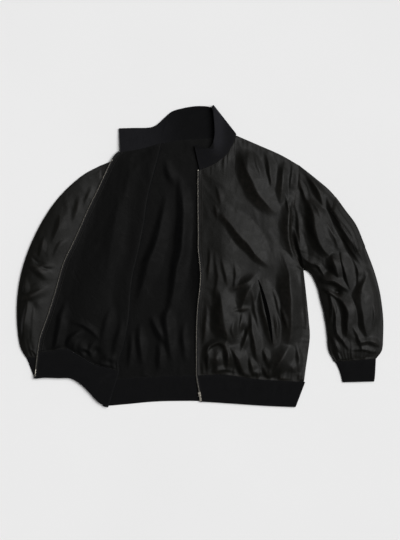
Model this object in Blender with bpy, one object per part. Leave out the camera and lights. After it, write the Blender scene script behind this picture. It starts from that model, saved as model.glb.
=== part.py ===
"""Zip blouson with a rib collar, cuffs and waistband, laid flat on its back.

The left front lies closed over the back. The right front is folded open, lining up.
+X is towards the wearer's left sleeve, +Y towards the collar, +Z up from the surface.
Tables are in millimetres, as measured on the garment laid flat; objects are in metres.
"""

import math

import bmesh
import bpy
import numpy as np
from mathutils import Vector
from mathutils.bvhtree import BVHTree

MM = 0.001
UP = np.array((0.0, 0.0, 1.0))

# ---- cloth thicknesses and clearances
SHELL_WALL = 1.0
LINING_WALL = 1.2
RIB_WALL = 2.4
COLLAR_WALL = 3.0
TAPE_WALL = 1.4
SEAM_GAP = 0.3
LEAST_SQUARE = 0.35

# ---- heights of the middle of each layer above the surface
BACK_LEVEL = SHELL_WALL / 2
LINING_LEVEL = SHELL_WALL + SEAM_GAP + LINING_WALL / 2
EDGE_LEVEL = 2.1
COVER_LEVEL = 4.4
ZIP_LEVEL = 8.2
ZIP_RISE = 80.0
FRONT_LOFT = 8.0
NECK_BULGE = 3.0
UNDER_LEVEL = 4.8
ROLL_RADIUS = 3.0
OPEN_LEVEL = 8.2
OPEN_LOFT = 4.0
PRESSED_LEVEL = 7.6
PRESS_EASE = 40.0
PRESS_MARGIN = 12.0
SLEEVE_LOFT = 9.0
ARM_RISE_LEFT = 5.0
ARM_RISE_RIGHT = 2.0
DRAPE_REACH = 18.0
DRAPE_GAP = 0.6
DRAPE_ROUNDS = 3
RIB_BACK_LEVEL = RIB_WALL / 2
RIB_FRONT_LEVEL = 5.2
RIB_UNDER_LEVEL = 4.1
RIB_OPEN_LEVEL = 10.0

# ---- distances from an edge over which loft and folds come in
LOFT_EASE = 70.0
OPEN_LOFT_EASE = 90.0
ROLL_EASE = 40.0
FRONT_FOLD_EASE = 26.0
LINING_FOLD_EASE = 30.0
FOLD_FULL_LOFT = 5.0

# ---- how many cells each seam is divided into; pieces that share a seam share its points
SIDE_CELLS = 11
ARM_CELLS = 11
BACK_SIDE_CELLS = 6
BACK_ARM_CELLS = 6
SHOULDER_CELLS = 12
NECK_CELLS = 10
BACK_SHOULDER_CELLS = 5
BACK_NECK_CELLS = 8
UNDER_CELLS = 5
OPEN_CELLS = 12
RING_COUNT = 21
CUFF_RINGS = 4
BAND_CELLS = 4
TURN_STEPS = 4

# the lining of the back stops short of the seams where the fronts come down to the back
LINING_INSET_LEFT = 12.0
LINING_INSET_RIGHT = 26.0
LINING_INSET_SHOULDER = 18.0

# The part's origin, on the plan of the tables
ORIGIN_X = 0.0
ORIGIN_Y = 0.0

# ---- seams and edges: x, y
NECK_LEFT = ((-1, 229), (17, 235), (39, 245), (56, 257), (72, 271), (83, 289), (91, 306), (95, 321))
SHOULDER_LEFT = ((95, 321), (155, 295), (214, 269), (263, 241))
ARMHOLE_LEFT = ((263, 241), (259, 187), (249, 140), (244, 87), (245, 45), (254, 8), (264, -22), (275, -37))
SIDE_LEFT = ((276, -334), (281, -298), (287, -257), (292, -213), (289, -169), (283, -108), (275, -37))
ZIP_LEFT = ((-5, -317), (-5, -260), (-5, -209), (-4, -170), (-1, -128), (4, -85), (6, -48), (3, -12), (0, 20),
            (0, 61), (-1, 143), (-1, 229))
HEM_LEFT = ((-5, -317), (65, -315), (146, -326), (212, -331), (276, -334))

NECK_BACK = ((95, 321), (69, 316), (11, 311), (-48, 308), (-106, 298))
SHOULDER_RIGHT = ((-106, 298), (-132, 285), (-163, 275), (-214, 260), (-263, 241))
HEM_BACK = ((276, -334), (146, -326), (0, -318), (-146, -321), (-266, -332))

CREST = ((-218, -305), (-218, -276), (-205, -236), (-192, -169), (-187, -101), (-180, -47), (-167, 7),
         (-151, 88), (-145, 135), (-135, 183), (-123, 228), (-112, 270), (-106, 298))
ZIP_RIGHT = ((-426, -256), (-419, -215), (-399, -159), (-379, -95), (-357, -20), (-328, 41), (-294, 118),
             (-263, 183), (-230, 252), (-211, 275))
NECK_OPEN = ((-211, 275), (-172, 281), (-132, 290), (-106, 298))
HEM_OPEN = ((-426, -256), (-392, -252), (-357, -246), (-335, -256), (-312, -270), (-280, -288), (-248, -297),
            (-218, -305))
HEM_UNDER = ((-266, -332), (-242, -317), (-218, -305))

# ---- collar, station by station: top x, top y, height of its foot, height of its top
COLLAR_FRONT = ((-15, 294, 9.2, 11.0), (3, 290, 10.2, 13.5), (20, 285, 11.2, 16.0), (30, 291, 11.6, 18.0),
                (38, 315, 11.0, 20.0), (38, 345, 9.6, 20.5), (35, 376, 7.4, 19.0), (30, 395, 5.3, 16.0))
COLLAR_BACK = ((30, 395, 1.5, 1.5), (14, 398, 1.5, 1.5), (-13, 398, 1.5, 1.5), (-44, 393, 1.5, 1.5),
               (-74, 384, 1.8, 1.6), (-96, 366, 3.6, 2.0))
COLLAR_OPEN = ((-96, 366, 3.6, 2.0), (-116, 348, 6.6, 3.0), (-136, 341, 9.0, 4.0), (-175, 340, 9.6, 4.4),
               (-215, 339, 9.4, 4.4))

# ---- waistband, lower edge: x, y
BAND_FRONT_FOOT = ((7, -387), (45, -389), (146, -396), (200, -399), (251, -401))
BAND_BACK_FOOT = ((251, -401), (146, -393), (45, -386), (-60, -385), (-125, -387), (-190, -393), (-256, -399))
BAND_UNDER_FOOT = ((-256, -399), (-252, -400), (-247, -401))
BAND_OPEN_FOOT = ((-434, -325), (-412, -323), (-375, -324), (-342, -325), (-316, -340), (-294, -361),
                  (-271, -386), (-247, -401))

# ---- sleeves, ring by ring: outer x, outer y, inner x, inner y, edge radius, loft, bow of the armhole kept
SLEEVE_LEFT = ((263, 241, 275, -37, 0.8, 0.0, 1.0), (307, 206, 281, -38, 2.4, 5.0, 0.7),
               (349, 169, 287, -41, 3.6, 8.0, 0.4), (386, 120, 293, -46, 4.2, 9.0, 0.2),
               (414, 81, 300, -56, 4.4, 9.0, 0.0), (435, 31, 307, -71, 4.4, 9.0, 0.0),
               (458, -28, 314, -90, 4.4, 9.0, 0.0), (471, -70, 320, -116, 4.4, 9.0, 0.0),
               (480, -112, 327, -143, 4.4, 9.0, 0.0), (486, -165, 334, -180, 4.4, 9.0, 0.0),
               (486, -210, 338, -213, 4.2, 9.0, 0.0), (483, -249, 342, -250, 3.4, 7.0, 0.0),
               (468, -272, 357, -281, 2.6, 3.0, 0.0))
SLEEVE_RIGHT = ((-263, 241, -275, -37, 0.8, 0.0, 1.0), (-309, 216, -281, -38, 2.0, 3.0, 0.7),
                (-355, 177, -287, -41, 2.8, 6.0, 0.4), (-391, 135, -293, -46, 3.4, 8.0, 0.2),
                (-420, 90, -300, -56, 3.8, 9.0, 0.0), (-445, 40, -307, -71, 4.0, 9.0, 0.0),
                (-462, -3, -314, -90, 4.0, 9.0, 0.0), (-475, -48, -320, -114, 4.0, 9.0, 0.0),
                (-483, -95, -327, -143, 4.0, 9.0, 0.0), (-486, -145, -334, -178, 4.0, 9.0, 0.0),
                (-484, -195, -338, -212, 3.6, 8.0, 0.0), (-477, -240, -343, -245, 3.2, 5.0, 0.0),
                (-463, -268, -357, -275, 2.6, 2.0, 0.0))
# cuffs: the same columns
CUFF_LEFT = ((466, -272.2, 361, -280.7, 1.7, 1.0, 0.0), (465, -292, 370, -299, 1.7, 1.6, 0.0),
             (464, -312, 376, -317, 1.7, 1.6, 0.0), (462, -333, 380, -335, 1.7, 0.8, 0.0))
CUFF_RIGHT = ((-461, -268.1, -361, -274.7, 1.7, 0.4, 0.0), (-454, -283, -362, -289, 1.7, 0.6, 0.0),
              (-447, -301, -364, -304, 1.7, 0.6, 0.0), (-441, -319, -366, -318, 1.7, 0.4, 0.0))

# ---- folds: start x, y, bend x, y, end x, y, half width, height (below 0 is a trough)
FOLDS_FRONT = ((106, 232, 155, 165, 204, 109, 13, -4.5), (128, 240, 178, 178, 222, 122, 13, 2.5),
               (36, 120, 140, 20, 192, -42, 12, -4.5),
               (60, 130, 110, 82, 172, 20, 16, 3.5), (174, 262, 180, 216, 186, 172, 9, -3.0),
               (200, 262, 200, 214, 196, 172, 10, 3.0), (225, 250, 216, 204, 207, 164, 9, -2.5),
               (50, -98, 100, -70, 151, -46, 10, -3.5), (62, -78, 110, -52, 150, -28, 12, 3.5),
               (50, -109, 38, -178, 25, -246, 11, -3.0), (32, 24, 45, -48, 45, -120, 13, 4.0),
               (40, 36, 66, -26, 92, -87, 10, -2.5), (58, -191, 77, -151, 137, -146, 10, 4.5),
               (137, -146, 146, -190, 155, -240, 9, -3.0), (73, -236, 92, -278, 108, -308, 9, -3.5),
               (58, -262, 62, -272, 70, -284, 16, 4.5), (120, -262, 138, -290, 150, -306, 15, 4.5),
               (178, -250, 186, -282, 190, -306, 9, -3.0), (210, -262, 214, -284, 216, -304, 14, 4.0),
               (223, -16, 244, -98, 256, -265, 11, 4.0), (207, -5, 216, -98, 229, -191, 10, -3.0),
               (176, -96, 186, -160, 198, -226, 10, 3.0), (130, -60, 140, -130, 150, -200, 10, 2.5))
FOLDS_SLEEVE_LEFT = ((270, 225, 296, 176, 318, 125, 11, -3.5), (292, 210, 324, 160, 342, 104, 12, 3.0),
                     (281, 143, 292, 88, 304, 32, 11, -3.5), (300, 120, 318, 66, 338, 16, 11, 3.5),
                     (281, 69, 308, 26, 337, -13, 10, -4.0), (330, 10, 346, -14, 360, -30, 12, 6.0),
                     (355, -5, 372, -44, 390, -83, 9, -4.0), (318, -76, 354, -82, 390, -83, 9, -4.0),
                     (363, -109, 372, -150, 382, -191, 11, -3.5), (386, 58, 418, 8, 449, -42, 11, -3.5),
                     (404, 60, 436, 10, 462, -44, 10, 3.0), (460, -50, 419, -95, 419, -154, 10, -4.0),
                     (419, -154, 430, -188, 441, -220, 10, -3.5), (396, -100, 400, -150, 410, -206, 12, 4.0),
                     (344, -130, 352, -170, 358, -214, 10, 3.0), (446, -110, 448, -160, 456, -206, 12, 3.5))
FOLDS_SLEEVE_RIGHT = ((-451, -8, -403, -32, -368, -32, 9, -4.0), (-446, 14, -404, -10, -372, -10, 10, 3.5),
                      (-482, -112, -422, -93, -379, -73, 9, -4.5), (-478, -92, -430, -72, -386, -54, 11, 3.5),
                      (-464, -134, -472, -168, -474, -201, 8, -3.0), (-334, 56, -379, 32, -399, 1, 10, -3.5),
                      (-350, 88, -388, 60, -420, 20, 12, 3.0), (-452, -140, -458, -180, -460, -220, 11, 4.0),
                      (-429, -119, -417, -136, -405, -154, 9, -3.0))
FOLDS_LINING = ((-53, 209, -50, 69, -81, -66, 13, 4.0), (-81, -66, -85, -151, -82, -300, 13, 4.5),
                (-105, 69, -126, -20, -140, -60, 10, 2.6), (-128, -150, -112, -190, -95, -228, 11, 3.0),
                (-40, 120, -30, -40, -36, -200, 11, 1.6))
FOLDS_OPEN = ((-250, 240, -262, 60, -300, -120, 30, 2.0), (-200, 120, -230, -20, -250, -160, 26, 2.4),
              (-330, -190, -350, -225, -342, -252, 14, 3.0), (-390, -120, -404, -180, -398, -240, 14, 2.4),
              (-262, -238, -290, -268, -330, -262, 13, 3.6), (-236, -180, -240, -230, -250, -270, 12, -2.4),
              (-180, 200, -186, 60, -206, -60, 14, -1.6), (-300, -200, -310, -232, -322, -250, 10, -2.6))

# ---- pocket welt, sleeve pocket and zip
WELT_TOP = (155, -63)
WELT_FOOT = (192, -232)
WELT_WIDTH = 13.0
WELT_WALL = 1.2
WELT_CELLS = (14, 2)
WELT_REACH = 7.0
PATCH_RINGS = (4, 9)
PATCH_COLUMNS = 2
PATCH_WALL = 1.0
TAPE_WIDTH = 6.0
SLIDER_SHARE = 0.3
SLIDER_LENGTH = 11.0
SLIDER_WIDTH = 7.0
SLIDER_SPINE = 1.4
SLIDER_PLATE = 1.1
SLIDER_SLOT = TAPE_WALL + 2 * SEAM_GAP
EAR_THICK = 0.9
EAR_REACH = 1.3
EAR_SPACING = 3.8
EAR_ROOT = 0.3
PIN_RADIUS = 0.6
PIN_HEIGHT = 2.2
EYE_RADIUS = 1.6
EYE_HOLE = 0.95
PULL_PLAY = 0.35
PULL_TILT = 7.0
PULL_LENGTH = 19.0
PULL_WIDTH = 4.6
PULL_WALL = 1.2
PULL_NECK = (4.5, 8.0, 13.0)
PULL_CORNER = 1.3
SLIDER_BEVEL = 0.35
PULL_BEVEL = 0.25

COLOURS = {
    "shell": ((0.020, 0.0195, 0.018), 0.42, 0.0),
    "lining": ((0.0075, 0.0075, 0.0085), 0.9, 0.0),
    "rib": ((0.0062, 0.0066, 0.0088), 0.95, 0.0),
    "tape": ((0.0070, 0.0070, 0.0080), 0.8, 0.0),
    "brass": ((0.60, 0.44, 0.20), 0.32, 1.0),
}


# ---------------------------------------------------------------- lines and grids

def through(rows, count):
    """count + 1 stations on the smooth line through a table's rows, evenly by row."""
    rows = np.asarray(rows, float)
    held = np.vstack((2 * rows[0] - rows[1], rows, 2 * rows[-1] - rows[-2]))
    place = np.linspace(0, len(rows) - 1, count + 1)
    span = np.minimum(place.astype(int), len(rows) - 2)
    part = (place - span)[:, None]
    a, b, c, d = held[span], held[span + 1], held[span + 2], held[span + 3]
    cubic = (2 * a - 5 * b + 4 * c - d) + part * (3 * b - a - 3 * c + d)
    return b + 0.5 * part * ((c - a) + part * cubic)


def seam(rows, cells):
    """cells + 1 points evenly spaced along the smooth seam through a table's rows."""
    fine = through(rows, 20 * (len(rows) - 1))
    steps = np.linalg.norm(np.diff(fine[:, :2], axis=0), axis=1)
    run = np.concatenate(((0.0,), np.cumsum(steps)))
    wanted = np.linspace(0, run[-1], cells + 1)
    return np.column_stack([np.interp(wanted, run, column) for column in fine.T])


def raised(line, heights):
    """A line of the plan at the given height or heights."""
    return np.column_stack((line[:, :2], np.broadcast_to(heights, len(line))))


def joined(*lines):
    """Lines that share their end points, as one line."""
    return np.concatenate([lines[0]] + [line[1:] for line in lines[1:]])


def spanned(bottom, top, left, right):
    """Grid of points between four edges: rows from bottom to top, columns left to right."""
    v = np.linspace(0, 1, len(left))[:, None, None]
    u = np.linspace(0, 1, len(bottom))[None, :, None]
    ruled = (1 - v) * bottom[None] + v * top[None] + (1 - u) * left[:, None] + u * right[:, None]
    corners = (1 - v) * ((1 - u) * bottom[0] + u * bottom[-1]) + v * ((1 - u) * top[0] + u * top[-1])
    return ruled - corners


def distance_to(points, start, end):
    """Distance on the plan from each point to the straight stretch from start to end."""
    start, end = np.asarray(start, float), np.asarray(end, float)
    run = end - start
    along = np.clip(((points[..., :2] - start) @ run) / (run @ run), 0, 1)
    return np.linalg.norm(points[..., :2] - start - along[..., None] * run, axis=-1)


def line_distance(points, line):
    """Distance on the plan from each point to a line of points."""
    return np.min([distance_to(points, a[:2], b[:2]) for a, b in zip(line[:-1], line[1:])], axis=0)


def rim_distance(grid):
    """Distance on the plan from each point of a grid to the grid's own edge."""
    rim = joined(grid[0], grid[:, -1], grid[-1, ::-1], grid[::-1, 0])
    return line_distance(grid, rim)


def eased(value, full):
    """0 at 0, rising softly to 1 at full."""
    share = np.clip(value / full, 0, 1)
    return share * share * (3 - 2 * share)


def folded(points, table):
    """Height that a table of folds gives to each point."""
    total = np.zeros(points.shape[:-1])
    for x0, y0, x1, y1, x2, y2, half_width, height in table:
        near = line_distance(points, ((x0, y0), (x1, y1), (x2, y2)))
        total += height * np.exp(-(near / half_width) ** 2)
    return total


def parted(grid, sides, amount=SEAM_GAP / 2, ribbon=False):
    """The grid with the edges named drawn back from their seams by the amount."""
    grid = grid.copy()
    moves = {"bottom": (0, slice(None), 1, slice(None)), "top": (-1, slice(None), -2, slice(None)),
             "left": (slice(None), 0, slice(None), 1), "right": (slice(None), -1, slice(None), -2)}
    for side in sides:
        row, column, next_row, next_column = moves[side]
        edge = grid[row, column]
        inward = (grid[next_row, next_column] - edge)[:, :2]
        inward /= np.linalg.norm(inward, axis=1, keepdims=True)
        if ribbon:
            edge[:, :2] += inward * amount
            continue
        run = np.gradient(edge[:, :2], axis=0)
        run /= np.linalg.norm(run, axis=1, keepdims=True)
        square = np.abs(run[:, 0] * inward[:, 1] - run[:, 1] * inward[:, 0])
        edge[:, :2] += inward * (amount / np.maximum(square, LEAST_SQUARE))[:, None]
    return grid


def turned(middle, axis, closed=False):
    """Unit directions across a wall, square to its rows and to the level axis given."""
    if closed:
        run = np.roll(middle, -1, axis=1) - np.roll(middle, 1, axis=1)
    else:
        run = np.gradient(middle, axis=1)
    across = np.cross(run, np.broadcast_to(axis, middle.shape))
    return across / np.linalg.norm(across, axis=-1, keepdims=True)


def level_axis(direction):
    """Unit level vectors along the given directions."""
    flat = np.array(direction, float)
    flat[..., 2] = 0
    return flat / np.linalg.norm(flat, axis=-1, keepdims=True)


# ---------------------------------------------------------------- objects

def clear_scene():
    for thing in list(bpy.data.objects):
        bpy.data.objects.remove(thing, do_unlink=True)


def finish_of(slot):
    """The Principled material of a slot, made once."""
    if slot in bpy.data.materials:
        return bpy.data.materials[slot]
    colour, roughness, metallic = COLOURS[slot]
    material = bpy.data.materials.new(slot)
    material.use_nodes = True
    shader = material.node_tree.nodes["Principled BSDF"]
    shader.inputs["Base Color"].default_value = (*colour, 1.0)
    shader.inputs["Roughness"].default_value = roughness
    shader.inputs["Metallic"].default_value = metallic
    return material


def placed(name, bm, slot):
    """An object named for its piece, from a closed mesh in metres."""
    bmesh.ops.recalc_face_normals(bm, faces=bm.faces[:])
    mesh = bpy.data.meshes.new(name)
    bm.to_mesh(mesh)
    bm.free()
    mesh.shade_smooth()
    mesh.materials.append(finish_of(slot))
    piece = bpy.data.objects.new(name, mesh)
    bpy.context.scene.collection.objects.link(piece)
    return piece


def wall(name, slot, middle, across, thick, closed=False):
    """A closed wall of cloth: a sheet of faces half the thickness in, extruded right across."""
    origin = np.array((ORIGIN_X, ORIGIN_Y, 0.0))
    inner = ((middle - origin - across * thick / 2) * MM).reshape(-1, 3)
    shift = (np.broadcast_to(across, middle.shape) * thick * MM).reshape(-1, 3)
    rows, columns = middle.shape[:2]
    bm = bmesh.new()
    station = bm.verts.layers.int.new("station")
    points = []
    for index, place in enumerate(inner):
        point = bm.verts.new(place)
        point[station] = index
        points.append(point)
    for row in range(rows - 1):
        for column in range(columns if closed else columns - 1):
            after = (column + 1) % columns
            near, far = row * columns, (row + 1) * columns
            corners = (near + column, near + after, far + after, far + column)
            bm.faces.new([points[corner] for corner in corners])
    bmesh.ops.triangulate(bm, faces=bm.faces[:], quad_method="FIXED")
    made = bmesh.ops.extrude_face_region(bm, geom=bm.faces[:], use_keep_orig=True)
    for item in made["geom"]:
        if isinstance(item, bmesh.types.BMVert):
            item.co += Vector(shift[item[station]])
    return placed(name, bm, slot)


def tree_of(piece):
    """The piece's faces, for measuring the heights of what lies over it."""
    mesh = piece.data
    return BVHTree.FromPolygons([v.co for v in mesh.vertices], [p.vertices for p in mesh.polygons])


def top_under(points, trees, reach):
    """Height in millimetres of the highest piece below, within reach of each point."""
    spots = [(0.0, 0.0)]
    for ring in (0.5, 1.0):
        spots += [(reach * ring * math.cos(k * math.pi / 4), reach * ring * math.sin(k * math.pi / 4))
                  for k in range(8)]
    heights = np.zeros(points.shape[:-1])
    for index in np.ndindex(heights.shape):
        x, y = points[index][:2] - (ORIGIN_X, ORIGIN_Y)
        for dx, dy in spots:
            above = Vector(((x + dx) * MM, (y + dy) * MM, 1.0))
            for tree in trees:
                hit = tree.ray_cast(above, Vector((0, 0, -1)))[0]
                if hit is not None:
                    heights[index] = max(heights[index], hit.z / MM)
    return heights


def softened(heights, floor):
    """Heights averaged with their neighbours, never below the floor given."""
    heights = np.maximum(heights, floor)
    for _ in range(DRAPE_ROUNDS):
        edged = np.pad(heights, 1, mode="edge")
        mean = (edged[:-2, 1:-1] + edged[2:, 1:-1] + edged[1:-1, :-2] + edged[1:-1, 2:]) / 4
        heights = np.maximum(0.5 * heights + 0.5 * mean, floor)
    return heights


# ---------------------------------------------------------------- pieces

def mirrored(rows):
    """A left seam's rows on the wearer's right."""
    return tuple((-row[0], row[1]) for row in rows)


def bulge(cells, height):
    """Heights that rise to the height given halfway along a seam of so many cells."""
    return height * np.sin(np.linspace(0, math.pi, cells + 1))


def back_grid():
    """Points of the back between its hem, side, armhole, shoulder and neck seams."""
    hem = seam(HEM_BACK, 2 * BACK_SHOULDER_CELLS + BACK_NECK_CELLS)[::-1]
    side_right = seam(mirrored(SIDE_LEFT), BACK_SIDE_CELLS)
    side_right[0] = hem[0]
    left = joined(side_right, seam(mirrored(ARMHOLE_LEFT)[::-1], BACK_ARM_CELLS))
    right = joined(seam(SIDE_LEFT, BACK_SIDE_CELLS), seam(ARMHOLE_LEFT[::-1], BACK_ARM_CELLS))
    top = joined(seam(SHOULDER_RIGHT[::-1], BACK_SHOULDER_CELLS), seam(NECK_BACK[::-1], BACK_NECK_CELLS),
                 seam(SHOULDER_LEFT, BACK_SHOULDER_CELLS))
    return spanned(*[raised(line, BACK_LEVEL) for line in (hem, top, left, right)])


def make_back():
    """Shell back, flat on the surface."""
    grid = parted(back_grid(), ("left", "right", "bottom", "top"))
    return wall("back_panel", "shell", grid, UP, SHELL_WALL)


def make_back_lining():
    """Lining of the back: the back's points moved up, its open edges drawn in, and its own folds."""
    grid = parted(back_grid(), ("bottom", "top"))
    shoulders = np.ones(grid.shape[1], bool)
    shoulders[BACK_SHOULDER_CELLS + 1:BACK_SHOULDER_CELLS + BACK_NECK_CELLS] = False
    drawn = parted(grid, ("top",), LINING_INSET_SHOULDER)
    grid[-1, shoulders, :2] = drawn[-1, shoulders, :2]
    fine = narrowed(grid, LINING_INSET_RIGHT, LINING_INSET_LEFT, 2 * grid.shape[1] - 1)
    fine[..., 2] = LINING_LEVEL + folded(fine, FOLDS_LINING) * eased(rim_distance(fine), LINING_FOLD_EASE)
    return wall("back_lining", "lining", fine, UP, LINING_WALL)


def narrowed(grid, left, right, columns):
    """The grid's rows drawn in from both ends by the widths given, on so many columns."""
    rows = []
    for line in grid:
        run = np.concatenate(((0.0,), np.cumsum(np.linalg.norm(np.diff(line[:, :2], axis=0), axis=1))))
        place = np.linspace(left, run[-1] - right, columns)
        rows.append(np.column_stack([np.interp(place, run, line[:, k]) for k in range(3)]))
    return np.array(rows)


def make_front_left():
    """Shell of the left front, lofted over the back, with its folds."""
    arm = raised(seam(ARMHOLE_LEFT[::-1], ARM_CELLS), EDGE_LEVEL + bulge(ARM_CELLS, ARM_RISE_LEFT))
    side = raised(seam(SIDE_LEFT, SIDE_CELLS), EDGE_LEVEL)
    zip_edge = seam(ZIP_LEFT, SIDE_CELLS + ARM_CELLS)
    zip_rise = eased(zip_edge[:, 1] - zip_edge[0, 1], ZIP_RISE)
    zip_edge = raised(zip_edge, RIB_FRONT_LEVEL + (ZIP_LEVEL - RIB_FRONT_LEVEL) * zip_rise)
    hem = seam(HEM_LEFT, NECK_CELLS + SHOULDER_CELLS)
    hem = raised(hem, np.append(np.full(len(hem) - 1, RIB_FRONT_LEVEL), EDGE_LEVEL))
    hem[0] = zip_edge[0]
    share = np.linspace(0, 1, NECK_CELLS + 1)
    neck_heights = ZIP_LEVEL + (COVER_LEVEL - ZIP_LEVEL) * share ** 2 + bulge(NECK_CELLS, NECK_BULGE)
    neck_heights[-1] = EDGE_LEVEL
    neck = raised(seam(NECK_LEFT, NECK_CELLS), neck_heights)
    shoulder = raised(seam(SHOULDER_LEFT, SHOULDER_CELLS), EDGE_LEVEL)
    grid = spanned(hem, joined(neck, shoulder), zip_edge, joined(side, arm))
    inside = rim_distance(grid)
    grid[..., 2] += FRONT_LOFT * eased(inside, LOFT_EASE)
    grid[..., 2] += folded(grid, FOLDS_FRONT) * eased(inside, FRONT_FOLD_EASE)
    grid[1:-1, 1:-1, 2] = np.maximum(grid[1:-1, 1:-1, 2], COVER_LEVEL)
    grid = parted(grid, ("bottom", "top", "left", "right"))
    return grid, wall("front_left", "shell", grid, UP, SHELL_WALL)


def ring(row, arm_upper, arm_lower, lower_level, crowd=None, table=()):
    """One closed ring of a flattened sleeve: over the top from outer to inner edge, and back below."""
    outer, inner = row[0:2], row[2:4]
    radius, loft, bow = row[4:7]
    share = np.linspace(0, 1, ARM_CELLS + 1)[:, None]
    chord = arm_upper[0, :2] + share * (arm_upper[-1, :2] - arm_upper[0, :2])
    run = (inner - outer) / np.linalg.norm(inner - outer)
    near, far = outer + run * radius, inner - run * radius
    line = near + share * (far - near) + bow * (arm_upper[:, :2] - chord)
    crown = loft * (1 - np.abs(2 * share[:, 0] - 1) ** 3)
    over = raised(line, lower_level + 2 * radius + crown)
    over[1:-1, 2] += folded(over, table)[1:-1] * min(1.0, loft / FOLD_FULL_LOFT)
    if crowd is not None:
        over = crowd(over)
    over[1:-1, 2] = np.maximum(over[1:-1, 2], lower_level + 2 * radius)
    lower_share = np.linspace(0, 1, len(arm_lower))[:, None]
    lower_chord = arm_lower[0, :2] + lower_share * (arm_lower[-1, :2] - arm_lower[0, :2])
    under = near + lower_share * (far - near) + bow * (arm_lower[:, :2] - lower_chord)
    under = raised(under[::-1], lower_level)
    if bow >= 1.0:
        over = arm_upper
        under = arm_lower[::-1]
    level = (over[-1, 2] + lower_level) / 2
    return np.concatenate((over, [(*inner, level)], under, [(*outer, level)]))


def rings_axis(rings, table):
    """Level axis of each ring, along the sleeve, for a table carried on to the same rings."""
    chord = np.zeros((len(rings), 3))
    chord[:, :2] = table[:, 2:4] - table[:, 0:2]
    return level_axis(np.cross(UP, chord))[:, None]


def pressed(line):
    """A line across the right sleeve, pressed down where the open front lies on it."""
    edge = seam(ZIP_RIGHT, 4 * OPEN_CELLS)
    clear = np.interp(line[:, 1], edge[:, 1], edge[:, 0]) - line[:, 0] - PRESS_MARGIN
    free = eased(clear, PRESS_EASE)
    line = line.copy()
    line[1:-1, 2] = np.minimum(line[1:-1, 2], PRESSED_LEVEL + 2 * SLEEVE_LOFT * free[1:-1])
    return line


def make_sleeve(name, rows, side, arm_height, table, crowd=None):
    """Shell sleeve from the armhole to the cuff seam, pressed flat below."""
    stations = through(rows, RING_COUNT)
    armhole = ARMHOLE_LEFT if side > 0 else mirrored(ARMHOLE_LEFT)
    arm_upper = raised(seam(armhole, ARM_CELLS), EDGE_LEVEL + bulge(ARM_CELLS, arm_height))
    arm_lower = raised(seam(armhole, BACK_ARM_CELLS), BACK_LEVEL)
    grid = np.array([ring(row, arm_upper, arm_lower, BACK_LEVEL, crowd, table) for row in stations])
    axis = rings_axis(grid, stations)
    grid[0] += axis[0] * side * SEAM_GAP / 2
    across = turned(grid, axis, closed=True)
    return grid, across, wall(name, "shell", grid, across, SHELL_WALL, closed=True)


def make_cuff(name, rows, sleeve_rows):
    """Rib cuff, a flattened tube that starts at the sleeve's last ring."""
    stations = through(rows, CUFF_RINGS)
    last = np.array(sleeve_rows[-1], float)
    upper, lower = [raised(seam((last[0:2], last[2:4]), cells), 0.0) for cells in (ARM_CELLS, BACK_ARM_CELLS)]
    grid = np.array([ring(row, upper, lower, RIB_WALL / 2) for row in stations])
    axis = rings_axis(grid, stations)
    grid[0] += axis[0] * np.sign(axis[0] @ (grid[-1] - grid[0]).mean(axis=0)) * SEAM_GAP
    return wall(name, "rib", grid, turned(grid, axis, closed=True), RIB_WALL, closed=True)


def half_turn(start, end, outward):
    """Points of a half turn from one end point up or down to another, bulging outward."""
    radius = abs(end[2] - start[2]) / 2
    angles = np.linspace(0, math.pi, TURN_STEPS + 1)[1:-1]
    share = ((1 - np.cos(angles)) / 2)[:, None]
    return start + share * (end - start) + np.sin(angles)[:, None] * radius * outward


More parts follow.
